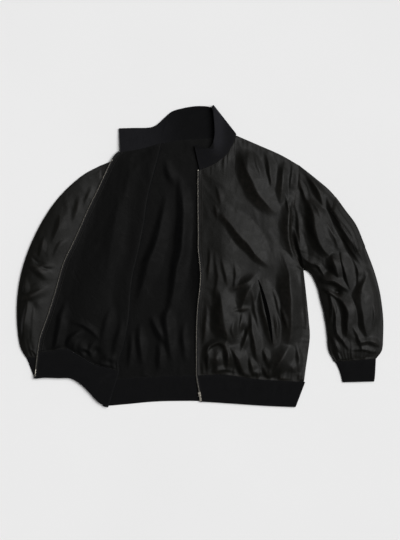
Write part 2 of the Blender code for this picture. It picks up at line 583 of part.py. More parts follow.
def make_front_right(trees):
    """Shell of the right front: from the side seam to the fold, round it, and back to the zip."""
    rows = SIDE_CELLS + ARM_CELLS
    crest = raised(seam(CREST, rows), UNDER_LEVEL)
    along = level_axis(np.gradient(crest, axis=0))
    outward = np.cross(along, UP)
    side = seam(mirrored(SIDE_LEFT), SIDE_CELLS)
    side[0] = HEM_UNDER[0]
    arm = raised(seam(mirrored(ARMHOLE_LEFT)[::-1], ARM_CELLS), EDGE_LEVEL + bulge(ARM_CELLS, ARM_RISE_RIGHT))
    left = joined(raised(side, EDGE_LEVEL), arm)
    hem = raised(seam(HEM_UNDER, UNDER_CELLS), np.linspace(EDGE_LEVEL, UNDER_LEVEL, UNDER_CELLS + 1))
    shoulder = seam(SHOULDER_RIGHT[::-1], UNDER_CELLS)
    shoulder = raised(shoulder, np.linspace(EDGE_LEVEL, UNDER_LEVEL, UNDER_CELLS + 1))
    hem[-1], shoulder[-1] = crest[0], crest[-1]
    under = spanned(hem, shoulder, left, crest)
    under[:, 1:, 2] = UNDER_LEVEL
    under = parted(under, ("left", "top", "bottom"))

    zip_edge = raised(seam(ZIP_RIGHT, rows), OPEN_LEVEL)
    upper_crest = crest + UP * 2 * ROLL_RADIUS
    hem_open = raised(seam(HEM_OPEN[::-1], OPEN_CELLS), OPEN_LEVEL)
    neck_open = raised(seam(NECK_OPEN[::-1], OPEN_CELLS), OPEN_LEVEL)
    hem_open[0], neck_open[0] = upper_crest[0], upper_crest[-1]
    over = spanned(hem_open, neck_open, upper_crest, zip_edge)
    from_crest = line_distance(over, crest)
    plain = OPEN_LEVEL + (UNDER_LEVEL + 2 * ROLL_RADIUS - OPEN_LEVEL) * (1 - eased(from_crest, ROLL_EASE))
    inside = rim_distance(over)
    plain += OPEN_LOFT * eased(inside, OPEN_LOFT_EASE)
    plain += folded(over, FOLDS_OPEN) * eased(inside, LINING_FOLD_EASE)
    floor = top_under(over, trees, DRAPE_REACH) + SHELL_WALL / 2 + DRAPE_GAP
    floor[:, 0] = upper_crest[:, 2]
    heights = softened(plain, np.maximum(floor, OPEN_LEVEL))
    heights[:, 0] = upper_crest[:, 2]
    over[..., 2] = heights
    over = parted(over, ("right", "top", "bottom"))
    upper_crest[[0, -1]], crest[[0, -1]] = over[[0, -1], 0], under[[0, -1], -1]

    lines = []
    for row in range(rows + 1):
        turn = half_turn(under[row, -1], over[row, 0], outward[row])
        lines.append(np.concatenate((under[row], turn, over[row])))
    grid = np.array(lines)
    across = turned(grid, -along[:, None])
    return grid, across, wall("front_right", "shell", grid, across, SHELL_WALL)


def make_open_lining(shell, across):
    """Lining of the right front, made from its shell's points moved out, and tucked round the fold."""
    first = UNDER_CELLS - 1
    step = SHELL_WALL / 2 + SEAM_GAP + LINING_WALL / 2
    grid = (shell + across * step)[:, first:]
    return grid, wall("front_right_lining", "lining", grid, across[:, first:], LINING_WALL)


def band_stations(top, foot, cells=BAND_CELLS):
    """Rows of points from the band's foot up to its top edge."""
    share = np.linspace(0, 1, cells + 1)[:, None, None]
    return foot[None] + share * (top - foot)[None]


def fold_over(before, after, outward):
    """Columns of a half turn that join the last column of one stretch to the first of the next."""
    turns = [half_turn(a, b, outward) for a, b in zip(before[:, -1], after[:, 0])]
    return np.array(turns)


def make_hem_band(trees):
    """Waistband in one length: left zip, left side, back, right side, fold, right zip."""
    count = NECK_CELLS + SHOULDER_CELLS
    top_front = raised(seam(HEM_LEFT, count), RIB_FRONT_LEVEL)
    foot_front = raised(seam(BAND_FRONT_FOOT, count), RIB_FRONT_LEVEL)
    back_count = 2 * BACK_SHOULDER_CELLS + BACK_NECK_CELLS
    top_back = raised(seam(HEM_BACK, back_count), RIB_BACK_LEVEL)
    foot_back = raised(seam(BAND_BACK_FOOT, back_count), RIB_BACK_LEVEL)
    top_under_fold = raised(seam(HEM_UNDER, UNDER_CELLS), RIB_UNDER_LEVEL)
    foot_under_fold = raised(seam(BAND_UNDER_FOOT, UNDER_CELLS), RIB_UNDER_LEVEL)
    top_open = raised(seam(HEM_OPEN[::-1], OPEN_CELLS), RIB_OPEN_LEVEL)
    foot_open = raised(seam(BAND_OPEN_FOOT[::-1], OPEN_CELLS), RIB_OPEN_LEVEL)

    parts = [band_stations(top_front, foot_front), band_stations(top_back, foot_back),
             band_stations(top_under_fold, foot_under_fold), band_stations(top_open, foot_open)]
    floor = top_under(parts[3], trees, DRAPE_REACH) + RIB_WALL / 2 + DRAPE_GAP
    parts[3][..., 2] = softened(parts[3][..., 2], np.maximum(floor, RIB_OPEN_LEVEL - DRAPE_GAP))
    parts[3][:, 0, 2] = RIB_OPEN_LEVEL
    right, left = np.array((1.0, 0.0, 0.0)), np.array((-1.0, 0.0, 0.0))
    turns = [fold_over(parts[0], parts[1], right), fold_over(parts[1], parts[2], left),
             fold_over(parts[2], parts[3], right)]
    middle = np.concatenate((parts[0], turns[0], parts[1], turns[1], parts[2], turns[2], parts[3]), axis=1)
    middle = parted(middle, ("top",), ribbon=True)
    across = turned(middle, level_axis(middle[-1] - middle[0])[None])
    return middle, wall("hem_band", "rib", middle, across, RIB_WALL)


def make_collar():
    """Stand collar in one length: left front edge, left neck, back, and the open right front."""
    front = collar_stretch(COLLAR_FRONT, seam(NECK_LEFT, NECK_CELLS))
    back = collar_stretch(COLLAR_BACK, seam(NECK_BACK, BACK_NECK_CELLS))
    opened = collar_stretch(COLLAR_OPEN, seam(NECK_OPEN[::-1], OPEN_CELLS))
    run = level_axis(front[-1, -1] - front[0, -1])
    turn = fold_over(front, back, np.cross(run, UP))
    middle = np.concatenate((front, turn, back, opened[:, 1:]), axis=1)
    middle = parted(middle, ("bottom",), ribbon=True)
    across = turned(middle, level_axis(middle[-1] - middle[0])[None])
    return wall("collar", "rib", middle, across, COLLAR_WALL)


def collar_stretch(rows, foot):
    """Columns of the collar from the neck seam's points to a table's top edge."""
    tops = seam(rows, len(foot) - 1)
    tops[:, 2:] = np.maximum(tops[:, 2:], COLLAR_WALL / 2)
    return band_stations(raised(tops, tops[:, 3]), raised(foot, tops[:, 2]))


def make_tape(name, edge, side):
    """Zip tape along a front edge, its inner side one seam gap off the cloth."""
    along = level_axis(np.gradient(edge, axis=0))
    outward = np.cross(UP, along) * side
    near = edge + outward * SEAM_GAP
    far = edge + outward * (SEAM_GAP + TAPE_WIDTH)
    return wall(name, "tape", np.stack((near, far), axis=1), UP, TAPE_WALL)


def make_welt(front):
    """Welt of the left hand pocket, lying on the front."""
    start, end = np.array(WELT_TOP, float), np.array(WELT_FOOT, float)
    run = (end - start) / np.linalg.norm(end - start)
    side = np.array((-run[1], run[0]))
    share = np.linspace(0, 1, WELT_CELLS[0] + 1)[:, None, None]
    width = np.linspace(0, WELT_WIDTH, WELT_CELLS[1] + 1)[None, :, None]
    plan = start + share * (end - start) + width * side
    grid = np.concatenate((plan, np.zeros(plan.shape[:2] + (1,))), axis=2)
    floor = top_under(grid, [tree_of(front)], WELT_REACH)
    grid[..., 2] = floor + SEAM_GAP + WELT_WALL / 2
    return wall("pocket_welt_left", "shell", grid, UP, WELT_WALL)


def make_sleeve_pocket(sleeve, across):
    """Patch pocket at the outer edge of the left upper arm, from the sleeve's points moved out."""
    first, last = PATCH_RINGS
    step = SHELL_WALL / 2 + SEAM_GAP + PATCH_WALL / 2
    columns = [sleeve.shape[1] - 1] + list(range(PATCH_COLUMNS + 1))
    grid = (sleeve + across * step)[first:last + 1][:, columns]
    return wall("sleeve_pocket", "shell", grid, across[first:last + 1][:, columns], PATCH_WALL)


# ---------------------------------------------------------------- zip slider and pull

def block(name, low, high):
    """A rectangular block between two corners, in millimetres."""
    low, high = Vector(low) * MM, Vector(high) * MM
    bm = bmesh.new()
    made = bmesh.ops.create_cube(bm, size=1.0)
    bmesh.ops.scale(bm, vec=high - low, verts=made["verts"])
    bmesh.ops.translate(bm, vec=(low + high) / 2, verts=made["verts"])
    return placed(name, bm, "brass")


def plate(name, outline, rise):
    """An outline of points in millimetres given a thickness."""
    bm = bmesh.new()
    face = bm.faces.new([bm.verts.new(Vector(point) * MM) for point in outline])
    made = bmesh.ops.extrude_face_region(bm, geom=[face], use_keep_orig=True)
    moved = [item for item in made["geom"] if isinstance(item, bmesh.types.BMVert)]
    bmesh.ops.translate(bm, vec=Vector(rise) * MM, verts=moved)
    return placed(name, bm, "brass")


def rod(name, radius, low, high, y=0.0, z=0.0, sides=16):
    """A round rod along x between low and high, in millimetres."""
    turns = [2 * math.pi * k / sides for k in range(sides)]
    outline = [(low, y + radius * math.cos(a), z + radius * math.sin(a)) for a in turns]
    return plate(name, outline, (high - low, 0, 0))


def shaped(body, tool, operation):
    """A Boolean on the body; the tool itself is left out of the object."""
    change = body.modifiers.new(tool.name, "BOOLEAN")
    change.operation = operation
    change.solver = "EXACT"
    change.object = tool
    tool.parent = body
    tool.hide_render = True
    tool.display_type = "WIRE"


def softened_edges(body, width):
    """A small bevel on the body's edges."""
    edge = body.modifiers.new("worn edges", "BEVEL")
    edge.width = width * MM
    edge.segments = 1
    edge.limit_method = "ANGLE"


def make_slider(place):
    """Slider body: two plates joined past the tape's free edge, with two ears that hold a pin."""
    half = SLIDER_LENGTH / 2
    top = SLIDER_SLOT / 2 + SLIDER_PLATE
    body = block("zip_slider", (0, -half, -top), (SLIDER_WIDTH, half, top))
    softened_edges(body, SLIDER_BEVEL)
    slot_low = (SLIDER_SPINE, -SLIDER_LENGTH, -SLIDER_SLOT / 2)
    slot_high = (2 * SLIDER_WIDTH, SLIDER_LENGTH, SLIDER_SLOT / 2)
    shaped(body, block("slot tool", slot_low, slot_high), "DIFFERENCE")
    middle = SLIDER_WIDTH / 2
    pin_level = top + PIN_HEIGHT
    for side in (-1, 1):
        near = middle + side * EAR_SPACING / 2
        crown = [(near, EAR_REACH * math.cos(a), pin_level + EAR_REACH * math.sin(a))
                 for a in (0.0, 0.25 * math.pi, 0.5 * math.pi, 0.75 * math.pi, math.pi)]
        root = top - EAR_ROOT
        outline = [(near, -EAR_REACH, root), (near, EAR_REACH, root)] + crown
        shaped(body, plate("ear tool", outline, (side * EAR_THICK, 0, 0)), "UNION")
    reach = EAR_SPACING / 2 + EAR_THICK / 2
    shaped(body, rod("pin tool", PIN_RADIUS, middle - reach, middle + reach, z=pin_level, sides=12), "UNION")
    body.parent = place
    return Vector((middle, 0, pin_level)) * MM


def make_pull(place, pin):
    """Pull tab: an eye round the slider's pin and a tab that lies towards the hem."""
    half_eye = EAR_SPACING / 2 - PULL_PLAY
    neck_end, taper_end, full = PULL_NECK
    widths = ((-EYE_RADIUS / 4, half_eye), (-neck_end, half_eye), (-taper_end, half_eye + PULL_PLAY / 2),
              (-full, PULL_WIDTH / 2), (PULL_CORNER - PULL_LENGTH, PULL_WIDTH / 2),
              (-PULL_LENGTH, PULL_WIDTH / 2 - PULL_CORNER))
    under = -PULL_WALL / 2
    outline = [(-w, y, under) for y, w in widths] + [(w, y, under) for y, w in reversed(widths)]
    tab = plate("zip_pull", outline, (0, 0, PULL_WALL))
    softened_edges(tab, PULL_BEVEL)
    shaped(tab, rod("eye tool", EYE_RADIUS, -half_eye, half_eye), "UNION")
    shaped(tab, rod("hole tool", EYE_HOLE, -half_eye - 1, half_eye + 1), "DIFFERENCE")
    hinge = bpy.data.objects.new("pull hinge", None)
    bpy.context.scene.collection.objects.link(hinge)
    hinge.parent = place
    hinge.location = pin
    hinge.rotation_euler = (math.radians(PULL_TILT), 0, 0)
    tab.parent = hinge


def make_zip(front, opened, band):
    """Tapes down both front edges and the ends of the waistband, and the slider with its pull."""
    left = np.concatenate((band[:-1, 0], front[:, 0]))
    right = np.concatenate((band[:-1, -1], opened[:, -1] + UP * SHELL_WALL))
    make_tape("zip_tape_left", left, 1)
    make_tape("zip_tape_right", right, 1)

    foot, top = band[0, 0], band[-1, 0]
    along = level_axis(top - foot)
    outward = np.cross(UP, along)
    spot = foot + (top - foot) * SLIDER_SHARE
    spot += outward * (SEAM_GAP + TAPE_WIDTH + SEAM_GAP + SLIDER_SPINE)
    place = bpy.data.objects.new("slider place", None)
    bpy.context.scene.collection.objects.link(place)
    place.location = Vector(spot - np.array((ORIGIN_X, ORIGIN_Y, 0.0))) * MM
    place.rotation_euler = (0, 0, math.atan2(-outward[1], -outward[0]))
    pin = make_slider(place)
    make_pull(place, pin)


def main():
    clear_scene()
    back = make_back()
    back_lining = make_back_lining()
    sleeve, sleeve_across, _ = make_sleeve("sleeve_left", SLEEVE_LEFT, 1, 5.0, FOLDS_SLEEVE_LEFT)
    sleeve_right = make_sleeve("sleeve_right", SLEEVE_RIGHT, -1, 2.0, FOLDS_SLEEVE_RIGHT, pressed)[2]
    make_cuff("cuff_left", CUFF_LEFT, SLEEVE_LEFT)
    cuff_right = make_cuff("cuff_right", CUFF_RIGHT, SLEEVE_RIGHT)
    front, front_piece = make_front_left()
    below = [tree_of(piece) for piece in (back, back_lining, sleeve_right, cuff_right)]
    opened, opened_across, _ = make_front_right(below)
    make_open_lining(opened, opened_across)
    band, _ = make_hem_band(below)
    make_collar()
    make_sleeve_pocket(sleeve, sleeve_across)
    make_welt(front_piece)
    make_zip(front, opened, band)


main()
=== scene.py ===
"""A dark zip blouson laid flat on its back, its right front folded open, in a plain pale studio.

The pieces are built round the CAD frame, each on the form of its own solid. Tables are in
millimetres on the plan, +X towards the wearer's left sleeve, +Y towards the collar, +Z up.
"""

import math

import bmesh
import bpy
import numpy as np
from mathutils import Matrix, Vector, noise
from mathutils.bvhtree import BVHTree


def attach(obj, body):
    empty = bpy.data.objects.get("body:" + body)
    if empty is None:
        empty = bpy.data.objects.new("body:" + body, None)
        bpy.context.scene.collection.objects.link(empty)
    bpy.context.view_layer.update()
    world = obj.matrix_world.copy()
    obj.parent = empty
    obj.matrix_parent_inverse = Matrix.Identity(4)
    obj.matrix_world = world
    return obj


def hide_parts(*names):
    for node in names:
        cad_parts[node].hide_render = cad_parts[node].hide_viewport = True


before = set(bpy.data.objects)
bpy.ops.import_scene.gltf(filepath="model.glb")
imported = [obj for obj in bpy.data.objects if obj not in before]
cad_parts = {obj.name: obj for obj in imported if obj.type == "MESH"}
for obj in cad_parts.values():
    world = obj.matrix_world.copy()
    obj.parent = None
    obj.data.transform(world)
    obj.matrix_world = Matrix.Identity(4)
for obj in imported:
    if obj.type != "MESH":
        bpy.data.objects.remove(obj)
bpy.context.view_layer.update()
noise.seed_set(11)  # the wandering of the creases is the same on every run

MM = 0.001
UP = np.array((0.0, 0.0, 1.0))
RIGHT = np.array((1.0, 0.0, 0.0))

# ---- cloth thicknesses and the gap that sewn pieces keep
SHELL_WALL = 0.8
LINING_WALL = 1.0
RIB_WALL = 2.2
COLLAR_WALL = 2.8
WELT_WALL = 1.0
MOUTH_WALL = 0.5
PATCH_WALL = 0.9
SEAM_GAP = 0.15
LINING_LIFT = SHELL_WALL / 2 + SEAM_GAP + LINING_WALL / 2

# ---- heights of the middle of each layer above the surface, and what shapes them
BACK_LEVEL = 0.5
LINING_LEVEL = 1.9
EDGE_LEVEL = 2.1
COVER_LEVEL = 4.4
ZIP_LEVEL = 8.2
ZIP_RISE = 80.0
ZIP_CLEARANCE = 1.6
ZIP_PROBES = np.arange(-16.0, 3.0, 3.0)
FRONT_LOFT = 6.5
FRONT_ROUNDS = 2500
TOP_LIMIT = 33.5
TOP_EASE = 8.0
NECK_BULGE = 3.0
NECK_END_CELLS = 16
HEM_SINK_START = 262
HEM_SINK_EASE = 20
UNDER_LEVEL = 4.8
UNDER_RISE_CELLS = 4
ROLL_RADIUS = 3.0
OPEN_LEVEL = 8.2
OPEN_LOFT = 4.0
PRESSED_LEVEL = 7.0
PRESS_EASE = 75.0
PRESS_MARGIN = -6.0
SLEEVE_LOFT = 9.0
ROUND_EDGE = 3.0
ROUND_EDGE_LEFT = 2.6
RING_STEP = 3.0
ARM_BLEND = 22.0
ARM_RISE_LEFT = 5.0
ARM_RISE_RIGHT = 2.0
DRAPE_REACH = 18.0
DRAPE_GAP = 0.6
RIB_BACK_LEVEL = 1.55
RIB_REST = 1.45
RIB_FRONT_LEVEL = 5.2
RIB_UNDER_LEVEL = 4.1
RIB_OPEN_LEVEL = 10.0
COLLAR_REST = COLLAR_WALL / 2 + 0.35

# ---- distances from an edge over which loft and creases come in
LOFT_EASE = 70.0
OPEN_LOFT_EASE = 90.0
ROLL_EASE = 40.0
SLEEVE_EDGE_EASE = 16.0
CREASE_EASE = 12.0

# ---- creases: their depth, the width of their back, how they swell, fall away and join
CREASE_DEPTH = 1.5
LINING_DEPTH = 1.6
OPEN_DEPTH = 1.2
CREASE_BACK = 1.6
CREASE_FACET = 3.6
CREASE_MAIN = 5.0
CREASE_SWELL = 0.65
CREASE_JOIN = 6.0
BANK_FALL = 1.45
BACK_FALL = 1.1
PUFF_FALL = 1.6
# ---- how far a drawn crease strays: size of the wandering, amount
STRAYS = ((45, 3.5), (14, 0.9))
STRAY_SEED = 7.0
# ---- crumples: share, level and fineness of each ridge; how much and how widely it is bent
CRUMPLE_RIDGES = ((1.3, 0.3, 1.0), (0.7, 0.25, 2.3))
CRUMPLE_BEND = 0.7
CRUMPLE_SPREAD = 0.6
# ---- folds at a sewn edge: share and fineness of each wave, ease from the seam, width of the ditch
GATHER_WAVES = ((2.6, 1.0), (1.1, 2.2))
GATHER_EASE = 7.0
DITCH_WIDTH = 2.6
SEAM_DITCH = 0.8
# ---- crumples by piece: height where summed, then size, place in the noise, stretch, turn
CRUMPLES_FRONT = ((0.55, 62.0, 1.7, 1.9, 0.35), (0.10, 24.0, 5.1, 1.6, -0.2))
CRUMPLES_LINING = ((0.45, 60.0, 8.1, 2.4),)
CRUMPLES_OPEN = ((0.4, 60.0, 6.6, 2.0),)
CRUMPLE_BACK = (62.0, 3.3, 2.2, 0.3)
CRUMPLE_BAND = (46.0, 2.2, 1.4)
CRUMPLE_BAND_OPEN = (40.0, 9.2)
CRUMPLE_COLLAR = (60.0, 5.7)
# ---- folds by edge: spacing, height, reach, place in the noise, ditch at the seam
GATHERS_FRONT = (("bottom", 17.0, 2.2, 30.0, 11.0, SEAM_DITCH), ("right", 16.0, 0.9, 16.0, 23.0, SEAM_DITCH),
                 ("top", 9.0, 0.9, 15.0, 31.0, SEAM_DITCH), ("left", 19.0, 0.5, 9.0, 41.0, 0.0))
GATHERS_LINING = (("bottom", 15.0, 1.3, 26.0, 4.0, 0.0),)
GATHERS_OPEN = (("bottom", 16.0, 1.6, 26.0, 51.0, 0.6),)

# ---- cells along each seam or round each piece; a step or end given in cells
SIDE_CELLS = 126
ARM_CELLS = 118
BACK_SIDE_CELLS = 78
BACK_ARM_CELLS = 54
SHOULDER_CELLS = 74
NECK_CELLS = 60
BACK_SHOULDER_CELLS = 44
BACK_NECK_CELLS = 48
UNDER_CELLS = 14
LINING_TUCK = 7
OPEN_CELLS = 66
SLEEVE_RINGS = 190
SLEEVE_BACK_CELLS = 24
EDGE_STEPS = 5
CUFF_RINGS = 24
CUFF_CELLS = 40
BAND_CELLS = 16
COLLAR_ROWS = 28
WELT_CELLS = 60
TURN_STEPS = 8
COARSE = 9
RIM_STEP = 4

# ---- how far the back lining stays inside the back
LINING_INSET_LEFT = 12.0
LINING_INSET_RIGHT = 26.0
LINING_INSET_SHOULDER = 18.0
LINING_INSET_SHARES = (1.0, 0.85, 0.7, 0.55, 0.4, 0.25, 0.12)

# ---- rubbed places, light and shade painted on the collar's knit, and the knit's loops in metres
WEAR_WIDTH = 3.0
# painted light on the collar: the bounds of its front stretch (x beyond, y below, x beyond), and how much
# lighter that stretch is painted all over
PAINTED_LIGHT_FOLD = (36.0, 283.0, -16)
PAINTED_LIGHT_OUTSIDE = 0.22
# the brightest painted highlight, where the collar stands: height, middle, half width, where it starts, over
# how much
PAINTED_HIGHLIGHT_STAND = (0.9, 47, 17, 262, 40)
LOOP_WIDTH = 0.00155
LOOP_HEIGHT = 0.0011

# ---- hand pocket and sleeve pocket
WELT_TOP = (155, -63)
WELT_FOOT = (192, -232)
WELT_WIDTH = 13.0
WELT_PUFF = 0.7
SLIT_WIDTH = 9.5
PATCH_RINGS = (36, 81)
PATCH_COLUMNS = 21
PATCH_PUFF = 2.6

# ---- zip: wall of the tape across its width and the column of its bead; teeth from foot and top
TAPE_WIDTH = 6.0
TAPE_WALLS = (0.7, 0.7, 0.7, 0.9, 1.2, 1.2, 0.9)
TAPE_BEAD = 4
TOOTH_PITCH = 2.9
TEETH = (("left", 28.0, 1.0), ("right", 28.0, 34.0))
# small metal parts: name, tape, size along, across and up, distance from the tape's foot or top
ZIP_BLOCKS = (
    ("left_zip_box", "left", (8.0, 4.2, 2.2), 7.0), ("left_top_stop", "left", (2.6, 2.4, 2.4), -1.5),
    ("right_zip_pin", "right", (20.0, 1.8, 1.9), 14.0), ("right_top_stop", "right", (2.6, 2.4, 2.4), -31.0))
BLOCK_RISE = 0.3

# ---- stitching: edge and distance of each row
STITCH_PITCH = 3.0
STITCH_RISE = 0.02
FRONT_ROWS = (("left", 2.5), ("left", 7.5), ("top", 2.0), ("right", 2.0), ("bottom", 2.0))
LINING_ROWS = (("right", 2.5), ("right", 7.5), ("bottom", 2.0))
WELT_ROWS = (("left", 1.2), ("right", 1.2), ("top", 1.2), ("bottom", 1.2))
PATCH_ROWS = (("right", 2.0),)
SLEEVE_ROWS = (("top", 2.5),)

# ---- studio: lamps with their direction, spread in degrees and power
LAMPS = (("key lamp", (0.48, 0.2, 0.86), 45.0, 3.2), ("fill lamp", (0.9, 0.1, 0.35), 60.0, 0.3))
SKY_POWER = 0.1
CAMERA_PLACE = (0.0, -0.0371, 3.389)

# ---- finishes by name, filled by make_finishes
FINISHES = {}

# ---- seams and edges: x, y
NECK_LEFT = (
    (-1, 229), (17, 235), (39, 245), (56, 257), (72, 271), (83, 289), (91, 306), (95, 321))
SHOULDER_LEFT = (
    (95, 321), (155, 295), (214, 269), (263, 241))
ARMHOLE_LEFT = (
    (263, 241), (259, 187), (249, 140), (244, 87), (245, 45), (254, 8), (264, -22), (275, -37))
SIDE_LEFT = (
    (276, -334), (281, -298), (287, -257), (292, -213), (289, -169), (283, -108), (275, -37))
ZIP_LEFT = (
    (-5, -317), (-5, -260), (-5, -209), (-4, -170), (-1, -128), (4, -85), (6, -48), (3, -12),
    (0, 20), (0, 61), (-1, 143), (-1, 229))
HEM_LEFT = (
    (-5, -317), (65, -315), (146, -326), (212, -331), (276, -334))

NECK_BACK = (
    (95, 321), (69, 316), (11, 311), (-48, 308), (-106, 298))
SHOULDER_RIGHT = (
    (-106, 298), (-132, 285), (-163, 275), (-214, 260), (-263, 241))
HEM_BACK = (
    (276, -334), (146, -326), (0, -318), (-146, -321), (-266, -332))

CREST = (
    (-218, -305), (-218, -276), (-205, -236), (-192, -169), (-187, -101), (-180, -47), (-167, 7),
    (-151, 88), (-145, 135), (-135, 183), (-123, 228), (-112, 270), (-106, 298))
ZIP_RIGHT = (
    (-426, -256), (-419, -215), (-399, -159), (-379, -95), (-357, -20), (-328, 41), (-294, 118),
    (-263, 183), (-230, 252), (-211, 275))
NECK_OPEN = (
    (-211, 275), (-172, 281), (-132, 290), (-106, 298))
HEM_OPEN = (
    (-426, -256), (-392, -252), (-357, -246), (-335, -256), (-312, -270), (-280, -288),
    (-248, -297), (-218, -305))
HEM_UNDER = (
    (-266, -332), (-242, -317), (-218, -305))

# ---- collar, station by station: top x, top y, height of its foot, height of its top
COLLAR_FRONT = (
    (-15, 294, 9.2, 11), (3, 290, 10.2, 13.5), (20, 285, 11.2, 16), (30, 291, 11.6, 18),
    (38, 315, 11, 20), (38, 345, 9.6, 20.5), (35, 376, 7.4, 19), (30, 395, 5.3, 16))
COLLAR_BACK = (
    (30, 395, 1.5, 1.5), (14, 398, 1.5, 1.5), (-13, 398, 1.5, 1.5), (-44, 393, 1.5, 1.5),
    (-74, 384, 1.8, 1.6), (-96, 366, 3.6, 2))
COLLAR_OPEN = (
    (-96, 366, 3.6, 2), (-116, 348, 6.6, 3), (-136, 341, 9, 4), (-175, 340, 9.6, 4.4),
    (-215, 339, 9.4, 4.4))

# ---- waistband, lower edge: x, y
BAND_FRONT_FOOT = (
    (7, -387), (45, -389), (146, -396), (200, -399), (251, -401))
BAND_BACK_FOOT = (
    (251, -401), (146, -393), (45, -386), (-60, -385), (-125, -387), (-190, -393), (-256, -399))
BAND_UNDER_FOOT = (
    (-256, -399), (-252, -400), (-247, -401))
BAND_OPEN_FOOT = (
    (-434, -325), (-412, -323), (-375, -324), (-342, -325), (-316, -340), (-294, -361),
    (-271, -386), (-247, -401))

# ---- sleeves, ring by ring: outer x, outer y, inner x, inner y, edge radius, loft, bow of the armhole kept
SLEEVE_LEFT = (
    (263, 241, 275, -37, 0.8, 0, 1), (307, 206, 281, -38, 2.4, 5, 0.7),
    (349, 169, 287, -41, 3.6, 8, 0.4), (386, 120, 293, -46, 4.2, 9, 0.2),
    (414, 81, 300, -56, 4.4, 9, 0), (435, 31, 307, -71, 4.4, 9, 0), (458, -28, 314, -90, 4.4, 9, 0),
    (471, -70, 320, -116, 4.4, 9, 0), (480, -112, 327, -143, 4.4, 9, 0),
    (486, -165, 334, -180, 4.4, 9, 0), (486, -210, 338, -213, 4.2, 9, 0),
    (483, -249, 342, -250, 3.4, 7, 0), (468, -272, 357, -281, 2.6, 3, 0))
SLEEVE_RIGHT = (
    (-263, 241, -275, -37, 0.8, 0, 1), (-309, 216, -281, -38, 2, 3, 0.7),
    (-355, 177, -287, -41, 2.8, 6, 0.4), (-391, 135, -293, -46, 3.4, 8, 0.2),
    (-420, 90, -300, -56, 3.8, 9, 0), (-445, 40, -307, -71, 4, 9, 0),
    (-462, -3, -314, -90, 4, 9, 0), (-475, -48, -320, -114, 4, 9, 0),
    (-483, -95, -327, -143, 4, 9, 0), (-486, -145, -334, -178, 4, 9, 0),
    (-484, -195, -338, -212, 3.6, 8, 0), (-477, -240, -343, -245, 3.2, 5, 0),
    (-463, -268, -357, -275, 2.6, 2, 0))
# cuffs: the same columns
CUFF_LEFT = (
    (466, -272.2, 361, -280.7, 1.7, 1, 0), (465, -292, 370, -299, 1.7, 1.6, 0),
    (464, -312, 376, -317, 1.7, 1.6, 0), (462, -333, 380, -335, 1.7, 0.8, 0))
CUFF_RIGHT = (
    (-461, -268.1, -361, -274.7, 1.7, 0.4, 0), (-454, -283, -362, -289, 1.7, 0.6, 0),
    (-447, -301, -364, -304, 1.7, 0.6, 0), (-441, -319, -366, -318, 1.7, 0.4, 0))

